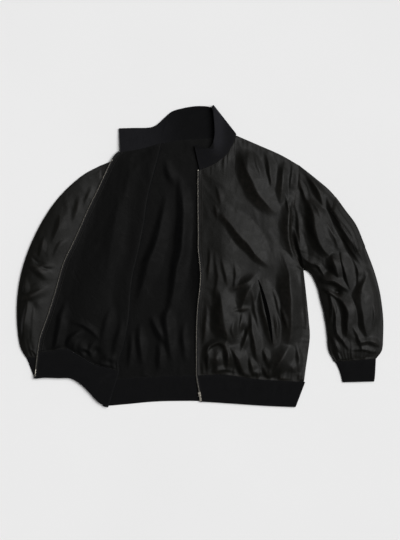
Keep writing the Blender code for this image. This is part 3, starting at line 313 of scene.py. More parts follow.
# ---- creases: crest line x, y from end to end, widths of bank and back, height, place of the peak;
# ---- puffs: x, y, half width, half length, height
CREASES_FRONT = (
    (106, 286, 122, 233, 148, 175, 175, 138, 209, 109, 34, 34, 11, 0.5),
    (125, 286, 127, 241, 135, 196, 16, 20, 2.5, 0.4),
    (37, 127, 80, 85, 122, 34, 154, -5, 186, -34, 22, 34, 8.5, 0.5),
    (170, 281, 183, 238, 188, 196, 186, 154, 14, 14, 5.5, 0.5),
    (223, 254, 220, 212, 215, 175, 215, 132, 24, 8, 7.5, 0.5),
    (246, 246, 244, 207, 236, 159, 8, 7, 4.6, 0.5), (223, 170, 233, 138, 241, 106, 5, 5, 2.6, 0.5),
    (236, 159, 244, 132, 249, 111, 4, 4, 2.2, 0.5),
    (228, 148, 241, 109, 249, 56, 260, 11, 273, -32, 42, 8, 14, 0.5),
    (212, 16, 233, -32, 238, -90, 241, -156, 238, -212, 225, -254, 44, 22, 14, 0.5),
    (254, 16, 270, -37, 278, -101, 14, 6, 4.5, 0.5), (37, 140, 42, 117, 45, 98, 5, 6, 1.6, 0.5),
    (40, 186, 50, 162, 58, 132, 7, 9, 1.6, 0.5), (24, 26, 24, -16, 19, -69, 5, 10, 2.2, 0.5),
    (58, -3, 64, -42, 74, -82, 8, 14, 3, 0.5), (90, -16, 95, -50, 90, -90, 6, 8, 2, 0.5),
    (37, 16, 45, -50, 37, -117, 8, 12, 2, 0.5),
    (45, -80, 58, -127, 61, -175, 72, -217, 64, -254, 36, 14, 12.5, 0.55),
    (64, -233, 74, -268, 72, -305, 14, 6, 7, 0.5), (24, -236, 21, -270, 21, -310, 8, 10, 4.6, 0.5),
    (74, -228, 90, -254, 106, -286, 122, -329, 16, 18, 8, 0.4),
    (114, -148, 109, -175, 106, -207, 6, 10, 2.8, 0.5),
    (132, -186, 122, -217, 106, -254, 9, 10, 4.4, 0.5),
    (95, -164, 85, -191, 93, -228, 7, 9, 2.6, 0.5),
    (80, -146, 106, -140, 138, -140, 8, 6, 2.8, 0.5),
    (154, -56, 132, -85, 119, -119, 106, -148, 32, 14, 8.5, 0.4),
    (74, -95, 117, -74, 159, -45, 16, 12, 4.5, 0.6),
    (159, -56, 170, -117, 183, -175, 199, -244, 24, 12, 10.5, 0.5),
    (156, -64, 170, -117, 183, -170, 193, -228, 9, 7, -6, 0.5),
    (26, -299, 16, -270, 24, -244, 48, -231, 69, -241, 77, -265, 69, -292, 7, 8, 4.2, 0.5),
    (135, -69, 143, -117, 151, -164, 164, -217, 8, 10, 3, 0.5),
    (188, -80, 204, -127, 217, -186, 12, 8, 5, 0.5),
    (212, -130, 223, -164, 231, -199, 6, 5, 3, 0.5),
    (196, -148, 204, -186, 207, -228, 6, 6, 3, 0.5),
    (164, -244, 175, -265, 180, -292, 9, 6, 5, 0.5),
    (135, -143, 138, -191, 143, -236, 154, -286, 12, 12, 6.5, 0.5),
    (244, -228, 223, -260, 201, -292, 186, -329, 36, 20, 9, 0.5),
    (24, -305, 58, -302, 101, -310, 6, 8, 2.4, 0.5), (13, -117, 16, -175, 8, -238, 7, 8, 1.8, 0.5),
    (254, -228, 262, -270, 265, -313, 12, 8, 4, 0.5),
    (273, -130, 276, -170, 278, -212, 6, 5, 2, 0.5),
    (140, 281, 151, 244, 164, 201, 8, 10, 2.6, 0.5),
    (130, -265, 138, -292, 138, -323, 12, 8, 5, 0.5),
    (167, -292, 175, -307, 180, -329, 10, 8, 4, 0.5))
PUFFS_FRONT = (
    (95, -180, 30, 30, 3.5), (42, -273, 20, 20, 4.5), (151, -310, 14, 8, 2.5),
    (249, -294, 20, 18, 3), (117, -196, 8, 14, -2), (16, -196, 14, 44, 1.5), (74, 16, 60, 50, 1.5))
CREASES_SLEEVE_LEFT = (
    (281, 164, 299, 111, 307, 58, 323, 21, 350, -5, 26, 30, 12, 0.5),
    (260, 199, 273, 170, 284, 138, 8, 8, 3.6, 0.5),
    (273, 246, 299, 201, 321, 154, 329, 111, 16, 14, 6.5, 0.5),
    (323, 180, 347, 130, 379, 69, 411, 21, 453, -32, 20, 60, 9.5, 0.5),
    (366, 64, 395, 21, 419, -11, 440, -48, 12, 16, 4, 0.5),
    (456, -32, 429, -77, 424, -127, 432, -175, 448, -228, 24, 50, 10.5, 0.45),
    (249, 80, 262, 26, 276, -32, 10, 10, 6, 0.5), (252, 140, 260, 82, 268, 26, 7, 8, 3.2, 0.5),
    (241, 188, 249, 154, 252, 117, 5, 6, 2.4, 0.5), (347, 11, 358, -32, 368, -72, 26, 6, 10, 0.45),
    (371, 16, 379, -32, 398, -93, 13, 13, 8.5, 0.45),
    (302, -69, 350, -66, 398, -93, 12, 10, 7, 0.5), (318, -87, 344, -98, 374, -119, 7, 6, 3.4, 0.5),
    (360, -98, 387, -140, 390, -188, 382, -228, 18, 16, 9.5, 0.45),
    (337, -85, 347, -130, 342, -186, 8, 7, 3.8, 0.5),
    (350, -117, 358, -170, 368, -231, 7, 8, 4, 0.5),
    (360, -196, 376, -223, 395, -252, 7, 8, 3.8, 0.5),
    (342, -207, 355, -231, 371, -257, 6, 6, 3, 0.5),
    (413, -231, 445, -225, 488, -244, 9, 8, 5, 0.5),
    (398, -252, 429, -246, 472, -257, 6, 6, 3, 0.5),
    (403, -183, 419, -217, 427, -252, 9, 10, 3.6, 0.5),
    (331, 90, 352, 53, 366, 16, 12, 14, 3.6, 0.5),
    (456, -117, 461, -159, 458, -201, 9, 10, 2.4, 0.5),
    (358, 186, 398, 132, 427, 80, 10, 14, 1.8, 0.5),
    (403, -5, 416, -37, 416, -74, 10, 10, 3.6, 0.5), (302, -16, 315, -29, 329, -53, 6, 7, 3, 0.5),
    (329, -138, 331, -175, 342, -217, 6, 6, 3.2, 0.5),
    (474, -95, 480, -132, 474, -175, 8, 8, 2, 0.5), (265, 3, 289, -16, 323, -26, 12, 12, 3.5, 0.5),
    (289, 148, 307, 132, 323, 90, 9, 12, 2.6, 0.5))
PUFFS_SLEEVE_LEFT = (
    (366, -95, 12, 10, -5), (337, -37, 16, 12, -3), (403, -132, 22, 34, 2.2), (344, 56, 24, 40, 2),
    (435, -42, 20, 14, 2.5))
CREASES_SLEEVE_RIGHT = (
    (-321, 159, -326, 122, -339, 77, 14, 12, 3.6, 0.5),
    (-315, 74, -342, 42, -368, 26, -390, -5, 12, 12, 7.5, 0.5),
    (-344, 34, -360, 11, -355, -26, 8, 9, 4.2, 0.5),
    (-458, -19, -419, -45, -366, -66, 15, 10, 8, 0.55),
    (-450, 0, -419, -29, -368, -42, 4, 3, -4, 0.5),
    (-485, -122, -450, -109, -411, -93, -374, -74, 17, 9, 8.5, 0.55),
    (-485, -111, -448, -95, -411, -82, -376, -61, 4, 3, -4, 0.5),
    (-437, -32, -403, -26, -371, -32, 6, 5, 3.4, 0.5),
    (-456, -109, -464, -164, -474, -228, 12, 14, 8, 0.5),
    (-403, -117, -411, -159, -424, -212, 13, 6, 6, 0.5),
    (-440, -130, -443, -183, -448, -236, 8, 12, 3.6, 0.5),
    (-371, 111, -376, 74, -392, 32, 14, 14, 3, 0.5),
    (-286, 188, -299, 154, -313, 117, 10, 10, 2.6, 0.5),
    (-411, 53, -419, 21, -427, -5, 9, 10, 2.8, 0.5),
    (-466, -53, -466, -85, -472, -106, 8, 10, 3, 0.5),
    (-450, -249, -440, -254, -424, -270, 5, 5, 2.8, 0.5),
    (-376, -95, -392, -127, -405, -164, 8, 8, 3.6, 0.5),
    (-355, -16, -376, -32, -398, -37, 6, 6, 3.2, 0.5))
PUFFS_SLEEVE_RIGHT = (
    (-403, -58, 22, 12, 3), (-419, -127, 16, 12, 3), (-360, 85, 30, 30, 1.5))
CREASES_OPEN = (
    (-231, -132, -252, -183, -262, -244, 11, 24, 3, 0.5),
    (-368, -140, -376, -201, -390, -270, 9, 11, 6, 0.5),
    (-307, -196, -339, -215, -355, -246, 8, 14, 6, 0.5),
    (-355, -246, -323, -270, -286, -286, 8, 8, 6, 0.5),
    (-292, -286, -252, -294, -212, -307, 7, 8, 5.4, 0.5),
    (-344, -175, -302, -186, -265, -223, 8, 10, 3.4, 0.5),
    (-355, -117, -366, -164, -371, -207, 12, 14, 3, 0.5),
    (-207, -164, -217, -212, -231, -270, 12, 16, 2.6, 0.5),
    (-276, -223, -292, -249, -286, -281, 8, 10, 3.6, 0.5),
    (-334, -254, -307, -249, -286, -265, 5, 6, 3, 0.5),
    (-212, 175, -233, 42, -254, -90, 30, 30, 1.6, 0.5))
PUFFS_OPEN = (
    (-323, -238, 22, 18, 4), (-238, -270, 20, 14, 3.4), (-276, -254, 14, 12, -2.8))
CREASES_LINING = (
    (8, 223, 11, 69, 8, -90, 3, -254, 42, 8, 7, 0.5),
    (-61, 223, -45, 135, -50, 29, -69, -77, -87, -196, 22, 16, 9, 0.45),
    (-87, 175, -106, 82, -135, -16, -167, -127, 20, 22, 6, 0.6),
    (-74, -117, -90, -170, -85, -223, -74, -281, 18, 16, 7, 0.45),
    (-132, -156, -114, -199, -90, -241, 9, 10, 6, 0.5),
    (-111, -223, -106, -265, -111, -313, 9, 10, 5, 0.5),
    (-159, -175, -162, -228, -154, -292, 12, 12, 5, 0.5),
    (-93, 254, -85, 223, -64, 186, 12, 14, 3.6, 0.5),
    (-186, -196, -183, -249, -191, -307, 8, 9, 3.6, 0.5),
    (-42, -170, -45, -223, -37, -286, 9, 10, 3.4, 0.5))
PUFFS_LINING = (
    (-135, -254, 12, 30, -3), (-117, -95, 12, 30, -2))
CREASES_BACK = (
    (-180, 120, -90, 60, 20, 20, 14, 18, 0.9, 0.5), (150, 180, 60, 110, -30, 90, 12, 16, 0.8, 0.5),
    (-200, -120, -60, -150, 90, -210, 13, 18, 0.9, 0.4),
    (180, -60, 120, -160, 110, -270, 14, 12, 0.8, 0.5),
    (-40, 250, -10, 120, -50, -60, 18, 14, 0.9, 0.5),
    (-150, -250, -40, -270, 40, -300, 10, 12, 0.7, 0.5))
CREASES_COLLAR = (
    (-20, 380, -40, 350, -50, 322, 7, 9, 1.2, 0.5), (-88, 372, -92, 345, -104, 312, 8, 9, 1.4, 0.5),
    (-150, 334, -146, 315, -150, 296, 8, 8, 0.9, 0.5))


# ---------------------------------------------------------------- lines and grids

def through(rows, count):
    """count + 1 stations on the smooth line through a table's rows, evenly by row."""
    rows = np.asarray(rows, float)
    held = np.vstack((2 * rows[0] - rows[1], rows, 2 * rows[-1] - rows[-2]))
    place = np.linspace(0, len(rows) - 1, count + 1)
    span = np.minimum(place.astype(int), len(rows) - 2)
    part = (place - span)[:, None]
    a, b, c, d = held[span], held[span + 1], held[span + 2], held[span + 3]
    cubic = (2 * a - 5 * b + 4 * c - d) + part * (3 * b - a - 3 * c + d)
    return b + 0.5 * part * ((c - a) + part * cubic)


def run_along(line, axes=2):
    """Distance from a line's start to each of its points, on the plan, or in space with three axes."""
    steps = np.linalg.norm(np.diff(line[:, :axes], axis=0), axis=1)
    return np.concatenate(((0.0,), np.cumsum(steps)))


def depth_from(view, axes=2):
    """Distance of each point of a grid from its first row, down its own column."""
    steps = np.linalg.norm(np.diff(view[..., :axes], axis=0), axis=2)
    return np.vstack((np.zeros(view.shape[1]), np.cumsum(steps, axis=0)))


def spaced(line, places):
    """Points of a line at the given distances from its start."""
    run = run_along(line)
    return np.column_stack([np.interp(places, run, column) for column in line.T])


def seam(rows, cells):
    """cells + 1 points evenly spaced along the smooth seam through a table's rows."""
    fine = through(rows, 20 * (len(rows) - 1))
    return spaced(fine, np.linspace(0, run_along(fine)[-1], cells + 1))


def raised(line, heights):
    """A line of the plan at the given height or heights."""
    return np.column_stack((line[:, :2], np.broadcast_to(heights, len(line))))


def joined(*lines):
    """Lines that share their end points, as one line."""
    return np.concatenate([lines[0]] + [line[1:] for line in lines[1:]])


def spanned(bottom, top, left, right):
    """Grid of points between four edges: rows from bottom to top, columns left to right."""
    v = np.linspace(0, 1, len(left))[:, None, None]
    u = np.linspace(0, 1, len(bottom))[None, :, None]
    ruled = (1 - v) * bottom[None] + v * top[None] + (1 - u) * left[:, None] + u * right[:, None]
    corners = (1 - v) * ((1 - u) * bottom[0] + u * bottom[-1]) + v * ((1 - u) * top[0] + u * top[-1])
    return ruled - corners


def along_path(plan, path):
    """Distance, share of the way and side of each point of the plan from a path; left is above 0."""
    nearest = np.full(len(plan), np.inf)
    way, side = np.zeros(len(plan)), np.ones(len(plan))
    run = run_along(path)
    for start, end, begun in zip(path[:-1], path[1:], run[:-1]):
        step = end - start
        length = math.hypot(*step)
        if length < 1e-6:
            continue
        share = np.clip(((plan - start) @ step) / length ** 2, 0, 1)
        off = plan - start - share[:, None] * step
        gap = np.hypot(off[:, 0], off[:, 1])
        nearer = gap < nearest
        nearest[nearer] = gap[nearer]
        way[nearer] = begun + share[nearer] * length
        side[nearer] = np.sign(step[0] * off[nearer, 1] - step[1] * off[nearer, 0])
    return nearest, way / run[-1], side


def rim_distance(grid):
    """Distance on the plan from each point of a grid to the grid's own edge."""
    rim = joined(grid[0], grid[:, -1], grid[-1, ::-1], grid[::-1, 0])[::RIM_STEP, :2]
    plan = grid[..., :2].reshape(-1, 2)
    return along_path(plan, np.vstack((rim, rim[:1])))[0].reshape(grid.shape[:2])


def eased(value, full):
    """0 at 0, rising softly to 1 at full."""
    share = np.clip(value / full, 0, 1)
    return share * share * (3 - 2 * share)


# ---------------------------------------------------------------- creases

def strayed(plan):
    """Plan points moved a little this way and that, so that no drawn line stays a pure arc."""
    moved = np.array(plan)
    for index, (x, y) in enumerate(plan):
        for size, amount in STRAYS:
            way = noise.noise_vector(Vector((x, y, STRAY_SEED)) / size)
            moved[index] += amount * way.x, amount * way.y
    return moved


def creased(points, creases, puffs=(), crisp=1.0):
    """Height given by creases, each a ridge with its own width on either side, and by round puffs.

    Travelling down a crease's path, its first width is on the right hand, the steep bank that
    lies in shade; it swells from both ends to its height at the share of the way given last.
    Main ridges join as planes do, the higher one hiding most of the lower; the rest lie on them.
    """
    plan = strayed(points[..., :2].reshape(-1, 2))
    main, slight = np.zeros(len(plan)), np.zeros(len(plan))
    for *crest, bank, back, height, peak in creases:
        back = max(back * CREASE_BACK, abs(height) * CREASE_FACET)
        path = through(np.reshape(crest, (-1, 2)), 3 * len(crest))
        reach = max(bank, back)
        low, high = path.min(axis=0) - reach, path.max(axis=0) + reach
        near = np.all((plan > low) & (plan < high), axis=1)
        gap, way, side = along_path(plan[near], path)
        swell = np.where(way < peak, eased(way, peak), eased(1 - way, 1 - peak)) ** CREASE_SWELL
        spread = np.where(side < 0, bank, back) * (0.5 + 0.5 * swell)
        fall = np.clip(1 - gap / spread, 0, 1) ** (np.where(side < 0, BANK_FALL, BACK_FALL) / crisp)
        if height < CREASE_MAIN:
            slight[near] += height * swell * fall
        else:
            main[near] += (height * swell * fall) ** CREASE_JOIN
    total = main ** (1 / CREASE_JOIN) + slight
    for x, y, across, along, height in puffs:
        off = ((plan[:, 0] - x) / across) ** 2 + ((plan[:, 1] - y) / along) ** 2
        total += height * np.exp(-PUFF_FALL * off)
    return total.reshape(points.shape[:-1])


def crumpled(points, size, seed, stretch=1.0, turn=0.0):
    """Irregular fine ridges, about -1 to 1, longer one way by the stretch, turned by an angle."""
    plan = points[..., :2].reshape(-1, 2)
    c, s = math.cos(turn), math.sin(turn)
    lie = plan @ np.array(((c, -s), (s, c))) / (size, size * stretch)
    made = np.empty(len(lie))
    for index, (x, y) in enumerate(lie):
        spot = Vector((x, y, seed))
        bent = spot + CRUMPLE_BEND * noise.noise_vector(CRUMPLE_SPREAD * spot)
        made[index] = sum(share * (level - abs(noise.noise(fineness * bent)))
                          for share, level, fineness in CRUMPLE_RIDGES)
    return made.reshape(points.shape[:-1]) * 2


def crumple_sum(points, rows):
    """Crumples of several sizes: height, size, seed, stretch and turn of each."""
    return sum(height * crumpled(points, *rest) for height, *rest in rows)


def edge_view(grid, edge):
    """The grid turned so that the named edge is its first row; a change to it changes the grid."""
    return {"bottom": grid, "top": grid[::-1], "left": grid.swapaxes(0, 1),
            "right": grid[:, ::-1].swapaxes(0, 1)}[edge]


def gathered(grid, rows):
    """Short folds square to each edge that is sewn in, uneven in height and length, and its ditch."""
    for edge, spacing, depth, reach, seed, ditch in rows:
        view = edge_view(grid, edge)
        away = depth_from(view)
        wave, far = np.empty(view.shape[1]), np.empty(view.shape[1])
        for index, place in enumerate(run_along(view[0])):
            spot = Vector((place / spacing, seed, 0.5))
            wave[index] = sum(share * noise.noise(fineness * spot) for share, fineness in GATHER_WAVES)
            far[index] = reach * (1.0 + 1.2 * noise.noise(Vector((place / spacing / 1.7, seed, 7.5))))
        far = np.maximum(far, 0.3 * reach)
        view[..., 2] += depth * wave * eased(away, GATHER_EASE) * np.exp(-(away / far) ** 1.4)
        view[..., 2] -= ditch * np.exp(-(away / DITCH_WIDTH) ** 2)


def kept_low(heights):
    """Heights let through, the highest crests pressed down softly below the limit."""
    over = np.maximum(heights - (TOP_LIMIT - TOP_EASE), 0)
    return heights - over + TOP_EASE * (1 - np.exp(-over / TOP_EASE))


def relaxed(heights, rounds=2):
    """Heights averaged with their neighbours, the rim kept."""
    for _ in range(rounds):
        inner = (heights[:-2, 1:-1] + heights[2:, 1:-1] + heights[1:-1, :-2] + heights[1:-1, 2:]) / 4
        heights[1:-1, 1:-1] = 0.5 * heights[1:-1, 1:-1] + 0.5 * inner
    return heights


# ---------------------------------------------------------------- walls of cloth

def parted(grid, sides, amount=SEAM_GAP / 2):
    """The grid with the edges named drawn back from their seams by the amount."""
    grid = grid.copy()
    for side in sides:
        view = edge_view(grid, side)
        inward = (view[3] - view[0])[:, :2]
        view[0, :, :2] += inward * amount / np.maximum(np.linalg.norm(inward, axis=1, keepdims=True), 0.01)
    return grid


def turned(middle, axis, closed=False):
    """Unit directions across a wall, square to its rows and to the level axis given."""
    if closed:
        run = np.roll(middle, -1, axis=1) - np.roll(middle, 1, axis=1)
    else:
        run = np.gradient(middle, axis=1)
    across = np.cross(run, np.broadcast_to(axis, middle.shape))
    return across / np.linalg.norm(across, axis=-1, keepdims=True)


def level_axis(direction):
    """Unit level vectors along the given directions."""
    flat = np.array(direction, float)
    flat[..., 2] = 0
    return flat / np.linalg.norm(flat, axis=-1, keepdims=True)


def tree_of(*pieces):
    """The faces of some pieces, for measuring what lies under a point."""
    trees = []
    for piece in pieces:
        mesh = piece.data
        trees.append(BVHTree.FromPolygons([v.co for v in mesh.vertices], [p.vertices for p in mesh.polygons]))
    return trees


def top_under(points, trees, reach=0.0):
    """Height in millimetres of the highest piece below, within reach of each point."""
    spots = [(0.0, 0.0)]
    for ring in (0.5, 1.0) if reach else ():
        spots += [(reach * ring * math.cos(k * math.pi / 4), reach * ring * math.sin(k * math.pi / 4))
                  for k in range(8)]
    heights = np.zeros(points.shape[:-1])
    for index in np.ndindex(heights.shape):
        x, y = points[index][:2]
        for dx, dy in spots:
            start = Vector(((x + dx) * MM, (y + dy) * MM, 1.0))
            for tree in trees:
                hit = tree.ray_cast(start, Vector((0, 0, -1)))[0]
                if hit is not None:
                    heights[index] = max(heights[index], hit.z / MM)
    return heights


def enlarged(values, shape):
    """A coarse grid of values spread smoothly over a finer one."""
    rows = np.linspace(0, values.shape[0] - 1, shape[0])
    columns = np.linspace(0, values.shape[1] - 1, shape[1])
    tall = np.array([np.interp(rows, range(values.shape[0]), column) for column in values.T]).T
    return np.array([np.interp(columns, range(values.shape[1]), row) for row in tall])


def wall_corners(rows, columns, closed):
    """Row, column and layer of the corners of every face round a wall of so many points."""
    spans = columns if closed else columns - 1
    r, c = [a.ravel() for a in np.meshgrid(np.arange(rows - 1), np.arange(spans), indexing="ij")]
    wide, deep = np.stack((r, r, r + 1, r + 1), 1), np.stack((c, c + 1, c + 1, c), 1)
    back = [0, 3, 2, 1]
    quads = [(wide, deep, 0 * wide), (wide[:, back], deep[:, back], 0 * wide + 1)]
    down, over = np.arange(rows - 1), np.arange(spans)
    foot, top, first, last = 0 * over, 0 * over + rows - 1, 0 * down, 0 * down + columns - 1
    rims = [(foot, foot, over, over + 1), (top, top, over + 1, over)]
    if not closed:
        rims += [(down, down + 1, last, last), (down + 1, down, first, first)]
    for r0, r1, c0, c1 in rims:
        wide, deep = np.stack((r0, r1, r1, r0), 1), np.stack((c0, c1, c1, c0), 1)
        quads.append((wide, deep, 0 * wide + (1, 1, 0, 0)))
    return [np.vstack(parts) for parts in zip(*quads)]


def wear_of(middle, v, closed):
    """How much each point of a wall is rubbed: by its edges and on its crests."""
    edge = np.minimum(v, v[-1] - v) if closed else rim_distance(middle)
    crest = middle[..., 2] - enlarged(middle[::6, ::6, 2], middle.shape[:2])
    return np.clip(0.7 * np.exp(-edge / WEAR_WIDTH) + np.clip(crest, 0, 2) * 0.3, 0, 1)


def marked(mesh, label, values):
    """A value at every point of the mesh, for its material to read."""
    mesh.attributes.new(label, "FLOAT", "POINT").data.foreach_set("value", values.astype(np.float32))


def placed(mesh, bend):
    """The mesh as an object of the scene, smooth but for edges that turn more than the bend."""
    piece = bpy.data.objects.new(mesh.name, mesh)
    bpy.context.scene.collection.objects.link(piece)
    bpy.ops.object.select_all(action="DESELECT")
    piece.select_set(True)
    bpy.context.view_layer.objects.active = piece
    bpy.ops.object.shade_smooth_by_angle(angle=math.radians(bend))
    piece.select_set(False)
    return piece


def cloth(name, middle, across, thick, closed=False, bend=50.0):
    """A closed wall of cloth round its middle surface, with a map of its own in metres."""
    rows, columns = middle.shape[:2]
    half = np.broadcast_to(np.asarray(thick, float), middle.shape[:2])[..., None] * across / 2
    points = np.concatenate(((middle + half).reshape(-1, 3), (middle - half).reshape(-1, 3))) * MM
    wide, deep, layer = wall_corners(rows, columns, closed)
    faces = wide * columns + deep % columns + layer * rows * columns
    ring = np.concatenate((middle, middle[:, :1]), axis=1) if closed else middle
    u, v = depth_from(ring.swapaxes(0, 1), 3).T, depth_from(middle, 3)
    mesh = bpy.data.meshes.new(name)
    mesh.from_pydata(points.tolist(), [], faces.tolist())
    flat = np.stack((u.mean(axis=0)[deep], v[:, columns // 2][wide]), -1) * MM
    weave = mesh.uv_layers.new(name="weave")
    weave.data.foreach_set("uv", flat.reshape(-1).astype(np.float32))
    marked(mesh, "wear", np.tile(wear_of(middle, v, closed).ravel(), 2))
    mesh.validate()
    shaped = bmesh.new()
    shaped.from_mesh(mesh)
    bmesh.ops.recalc_face_normals(shaped, faces=shaped.faces[:])
    shaped.to_mesh(mesh)
    shaped.free()
    return placed(mesh, bend)


def dressed(piece, node, slot, kind=None):
    """The piece stands for its CAD node, rides with the jacket and takes its finish."""
    piece.data.materials.append(FINISHES[kind or slot])
    if node:
        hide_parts(node)
    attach(piece, "jacket")
    return piece


# ---------------------------------------------------------------- the jacket's cloth

def mirrored(rows):
    """A left seam's rows on the wearer's right."""
    return tuple((-row[0], row[1]) for row in rows)


def bulge(cells, height):
    """Heights that rise to the height given halfway along a seam of so many cells."""
    return height * np.sin(np.linspace(0, math.pi, cells + 1))


def level_bulge(cells, height):
    """Heights of an armhole seam, bulging up from the level of the edges."""
    return EDGE_LEVEL + bulge(cells, height)


def back_grid(share=1):
    """Points of the back between its seams, on all its cells or one in so many."""
    side, arm, shoulder, neck = [cells // share for cells in
                                 (BACK_SIDE_CELLS, BACK_ARM_CELLS, BACK_SHOULDER_CELLS, BACK_NECK_CELLS)]
    hem = seam(HEM_BACK, 2 * shoulder + neck)[::-1]
    side_right = seam(mirrored(SIDE_LEFT), side)
    side_right[0] = hem[0]
    left = joined(side_right, seam(mirrored(ARMHOLE_LEFT)[::-1], arm))
    right = joined(seam(SIDE_LEFT, side), seam(ARMHOLE_LEFT[::-1], arm))
    top = joined(seam(SHOULDER_RIGHT[::-1], shoulder), seam(NECK_BACK[::-1], neck),
                 seam(SHOULDER_LEFT, shoulder))
    return spanned(*[raised(line, BACK_LEVEL) for line in (hem, top, left, right)])


def make_back():
    """Shell back, flat on the surface, with shallow pressed creases."""
    grid = parted(back_grid(2), ("left", "right", "bottom", "top"))
    inside = rim_distance(grid)
    lift = 0.16 * np.clip(crumpled(grid, *CRUMPLE_BACK), 0, 1) + 0.05 * creased(grid, CREASES_BACK)
    grid[..., 2] = BACK_LEVEL - 0.08 + lift * eased(inside, CREASE_EASE)
    return cloth("jacket_back", grid, UP, SHELL_WALL)


def make_back_lining():
    """Lining of the back, with its own long soft folds."""
    grid = back_grid()
    shoulders = np.ones(grid.shape[1], bool)
    shoulders[BACK_SHOULDER_CELLS:BACK_SHOULDER_CELLS + BACK_NECK_CELLS + 1] = False
    inward = level_axis(grid[-4] - grid[-1])
    for row, share in enumerate(LINING_INSET_SHARES, 1):
        grid[-row, shoulders] += inward[shoulders] * LINING_INSET_SHOULDER * share
    fine = np.array([spaced(line, np.linspace(LINING_INSET_RIGHT, run_along(line)[-1] - LINING_INSET_LEFT,
                                              len(line))) for line in grid])
    inside = rim_distance(fine)
    lift = LINING_DEPTH * creased(fine, CREASES_LINING, PUFFS_LINING, 0.9)
    lift += crumple_sum(fine, CRUMPLES_LINING)
    fine[..., 2] = LINING_LEVEL + np.maximum(lift, 0.0) * eased(inside, CREASE_EASE)
    gathered(fine, GATHERS_LINING)
    fine[..., 2] = relaxed(np.maximum(fine[..., 2], LINING_LEVEL), 3)
    return cloth("jacket_back_lining", fine, UP, LINING_WALL)


def left_zip_edge(below):
    """The left front's zip edge, lifted clear of what lies just beside it."""
    edge = seam(ZIP_LEFT, SIDE_CELLS + ARM_CELLS)
    rise = eased(edge[:, 1] - edge[0, 1], ZIP_RISE)
    edge = raised(edge, RIB_FRONT_LEVEL + (ZIP_LEVEL - RIB_FRONT_LEVEL) * rise)
    beside = top_under(edge[::4] + ZIP_PROBES[:, None, None] * (1, 0, 0), below).max(axis=0)
    share = np.linspace(0, 1, len(edge))
    beside = np.interp(share, share[::4], beside) + ZIP_CLEARANCE
    beside *= np.minimum(1, 6 * np.minimum(share, 1 - share))
    edge[:, 2] = np.maximum(edge[:, 2], beside)
    return edge


def neck_and_shoulder():
    """Top edge of the left front: up the neck under the collar, then out along the shoulder."""
    share = np.linspace(0, 1, NECK_CELLS + 1)
    heights = ZIP_LEVEL + (COVER_LEVEL - ZIP_LEVEL) * share ** 2 + bulge(NECK_CELLS, NECK_BULGE)
    end = NECK_END_CELLS
    heights[-end:] = np.linspace(heights[-end - 1], EDGE_LEVEL, end + 1)[1:]
    shoulder = raised(seam(SHOULDER_LEFT, SHOULDER_CELLS), EDGE_LEVEL)
    return raised(seam(NECK_LEFT, NECK_CELLS), heights), shoulder


def make_front_left(below):
    """Shell of the left front, lofted over the back, with its creases."""
    arm = raised(seam(ARMHOLE_LEFT[::-1], ARM_CELLS), level_bulge(ARM_CELLS, ARM_RISE_LEFT))
    side = raised(seam(SIDE_LEFT, SIDE_CELLS), EDGE_LEVEL)
    zip_edge = left_zip_edge(below)
    hem = seam(HEM_LEFT, NECK_CELLS + SHOULDER_CELLS)
    sink = eased(run_along(hem) - HEM_SINK_START, HEM_SINK_EASE)
    hem = raised(hem, RIB_FRONT_LEVEL - (RIB_FRONT_LEVEL - EDGE_LEVEL) * sink)
    neck, shoulder = neck_and_shoulder()
    hem[0], hem[-1], neck[0] = zip_edge[0], side[0], zip_edge[-1]
    grid = spanned(hem, joined(neck, shoulder), zip_edge, joined(side, arm))
    grid[..., 2] = relaxed(grid[..., 2], FRONT_ROUNDS)
    inside = rim_distance(grid)
    lift = CREASE_DEPTH * creased(grid, CREASES_FRONT, PUFFS_FRONT)
    lift += crumple_sum(grid, CRUMPLES_FRONT)
    grid[..., 2] += FRONT_LOFT * eased(inside, LOFT_EASE) + lift * eased(inside, CREASE_EASE)
    gathered(grid, GATHERS_FRONT)
    floor = enlarged(top_under(grid[::3, ::3], below), grid.shape[:2]) + 1.0
    lowest = np.maximum(floor[1:-1, 1:-1], EDGE_LEVEL)
    grid[1:-1, 1:-1, 2] = np.maximum(grid[1:-1, 1:-1, 2], lowest)
    grid[..., 2] = kept_low(relaxed(grid[..., 2]))
    grid = parted(grid, ("bottom", "top", "right"))
    return grid, cloth("left_front", grid, UP, SHELL_WALL)


def sleeve_rings(rows, armhole, arm_height, round_edge):
    """Top and under side of each ring of a flattened sleeve, and the way from its outer edge in."""
    share, lower = [np.linspace(0, 1, cells + 1)[:, None] for cells in (ARM_CELLS, SLEEVE_BACK_CELLS)]
    arm_upper = raised(seam(armhole, ARM_CELLS), level_bulge(ARM_CELLS, arm_height))
    arm_lower = raised(seam(armhole, SLEEVE_BACK_CELLS), BACK_LEVEL)
    bows = [(arm - arm[0] - part * (arm[-1] - arm[0]))[:, :2]
            for arm, part in ((arm_upper, share), (arm_lower, lower))]
    over, under, runs = [], [], []
    for outer_x, outer_y, inner_x, inner_y, radius, loft, bow in rows:
        outer, inner = np.array((outer_x, outer_y)), np.array((inner_x, inner_y))
        run = (inner - outer) / np.linalg.norm(inner - outer)
        near, far = outer + run * radius, inner - run * radius
        falls = np.where(share[:, 0] < 0.5, round_edge, ROUND_EDGE)
        crown = loft * (1 - np.abs(2 * share[:, 0] - 1) ** falls)
        over.append(raised(near + share * (far - near) + bow * bows[0], BACK_LEVEL + 2 * radius + crown))
        under.append(raised((near + lower * (far - near) + bow * bows[1])[::-1], BACK_LEVEL))
        runs.append(run)
    over = np.array(over)
    blend = eased(np.arange(len(over)) * RING_STEP, ARM_BLEND)[:, None]
    over[..., 2] = blend * over[..., 2] + (1 - blend) * arm_upper[None, :, 2]
    return over, np.array(under), np.array(runs)


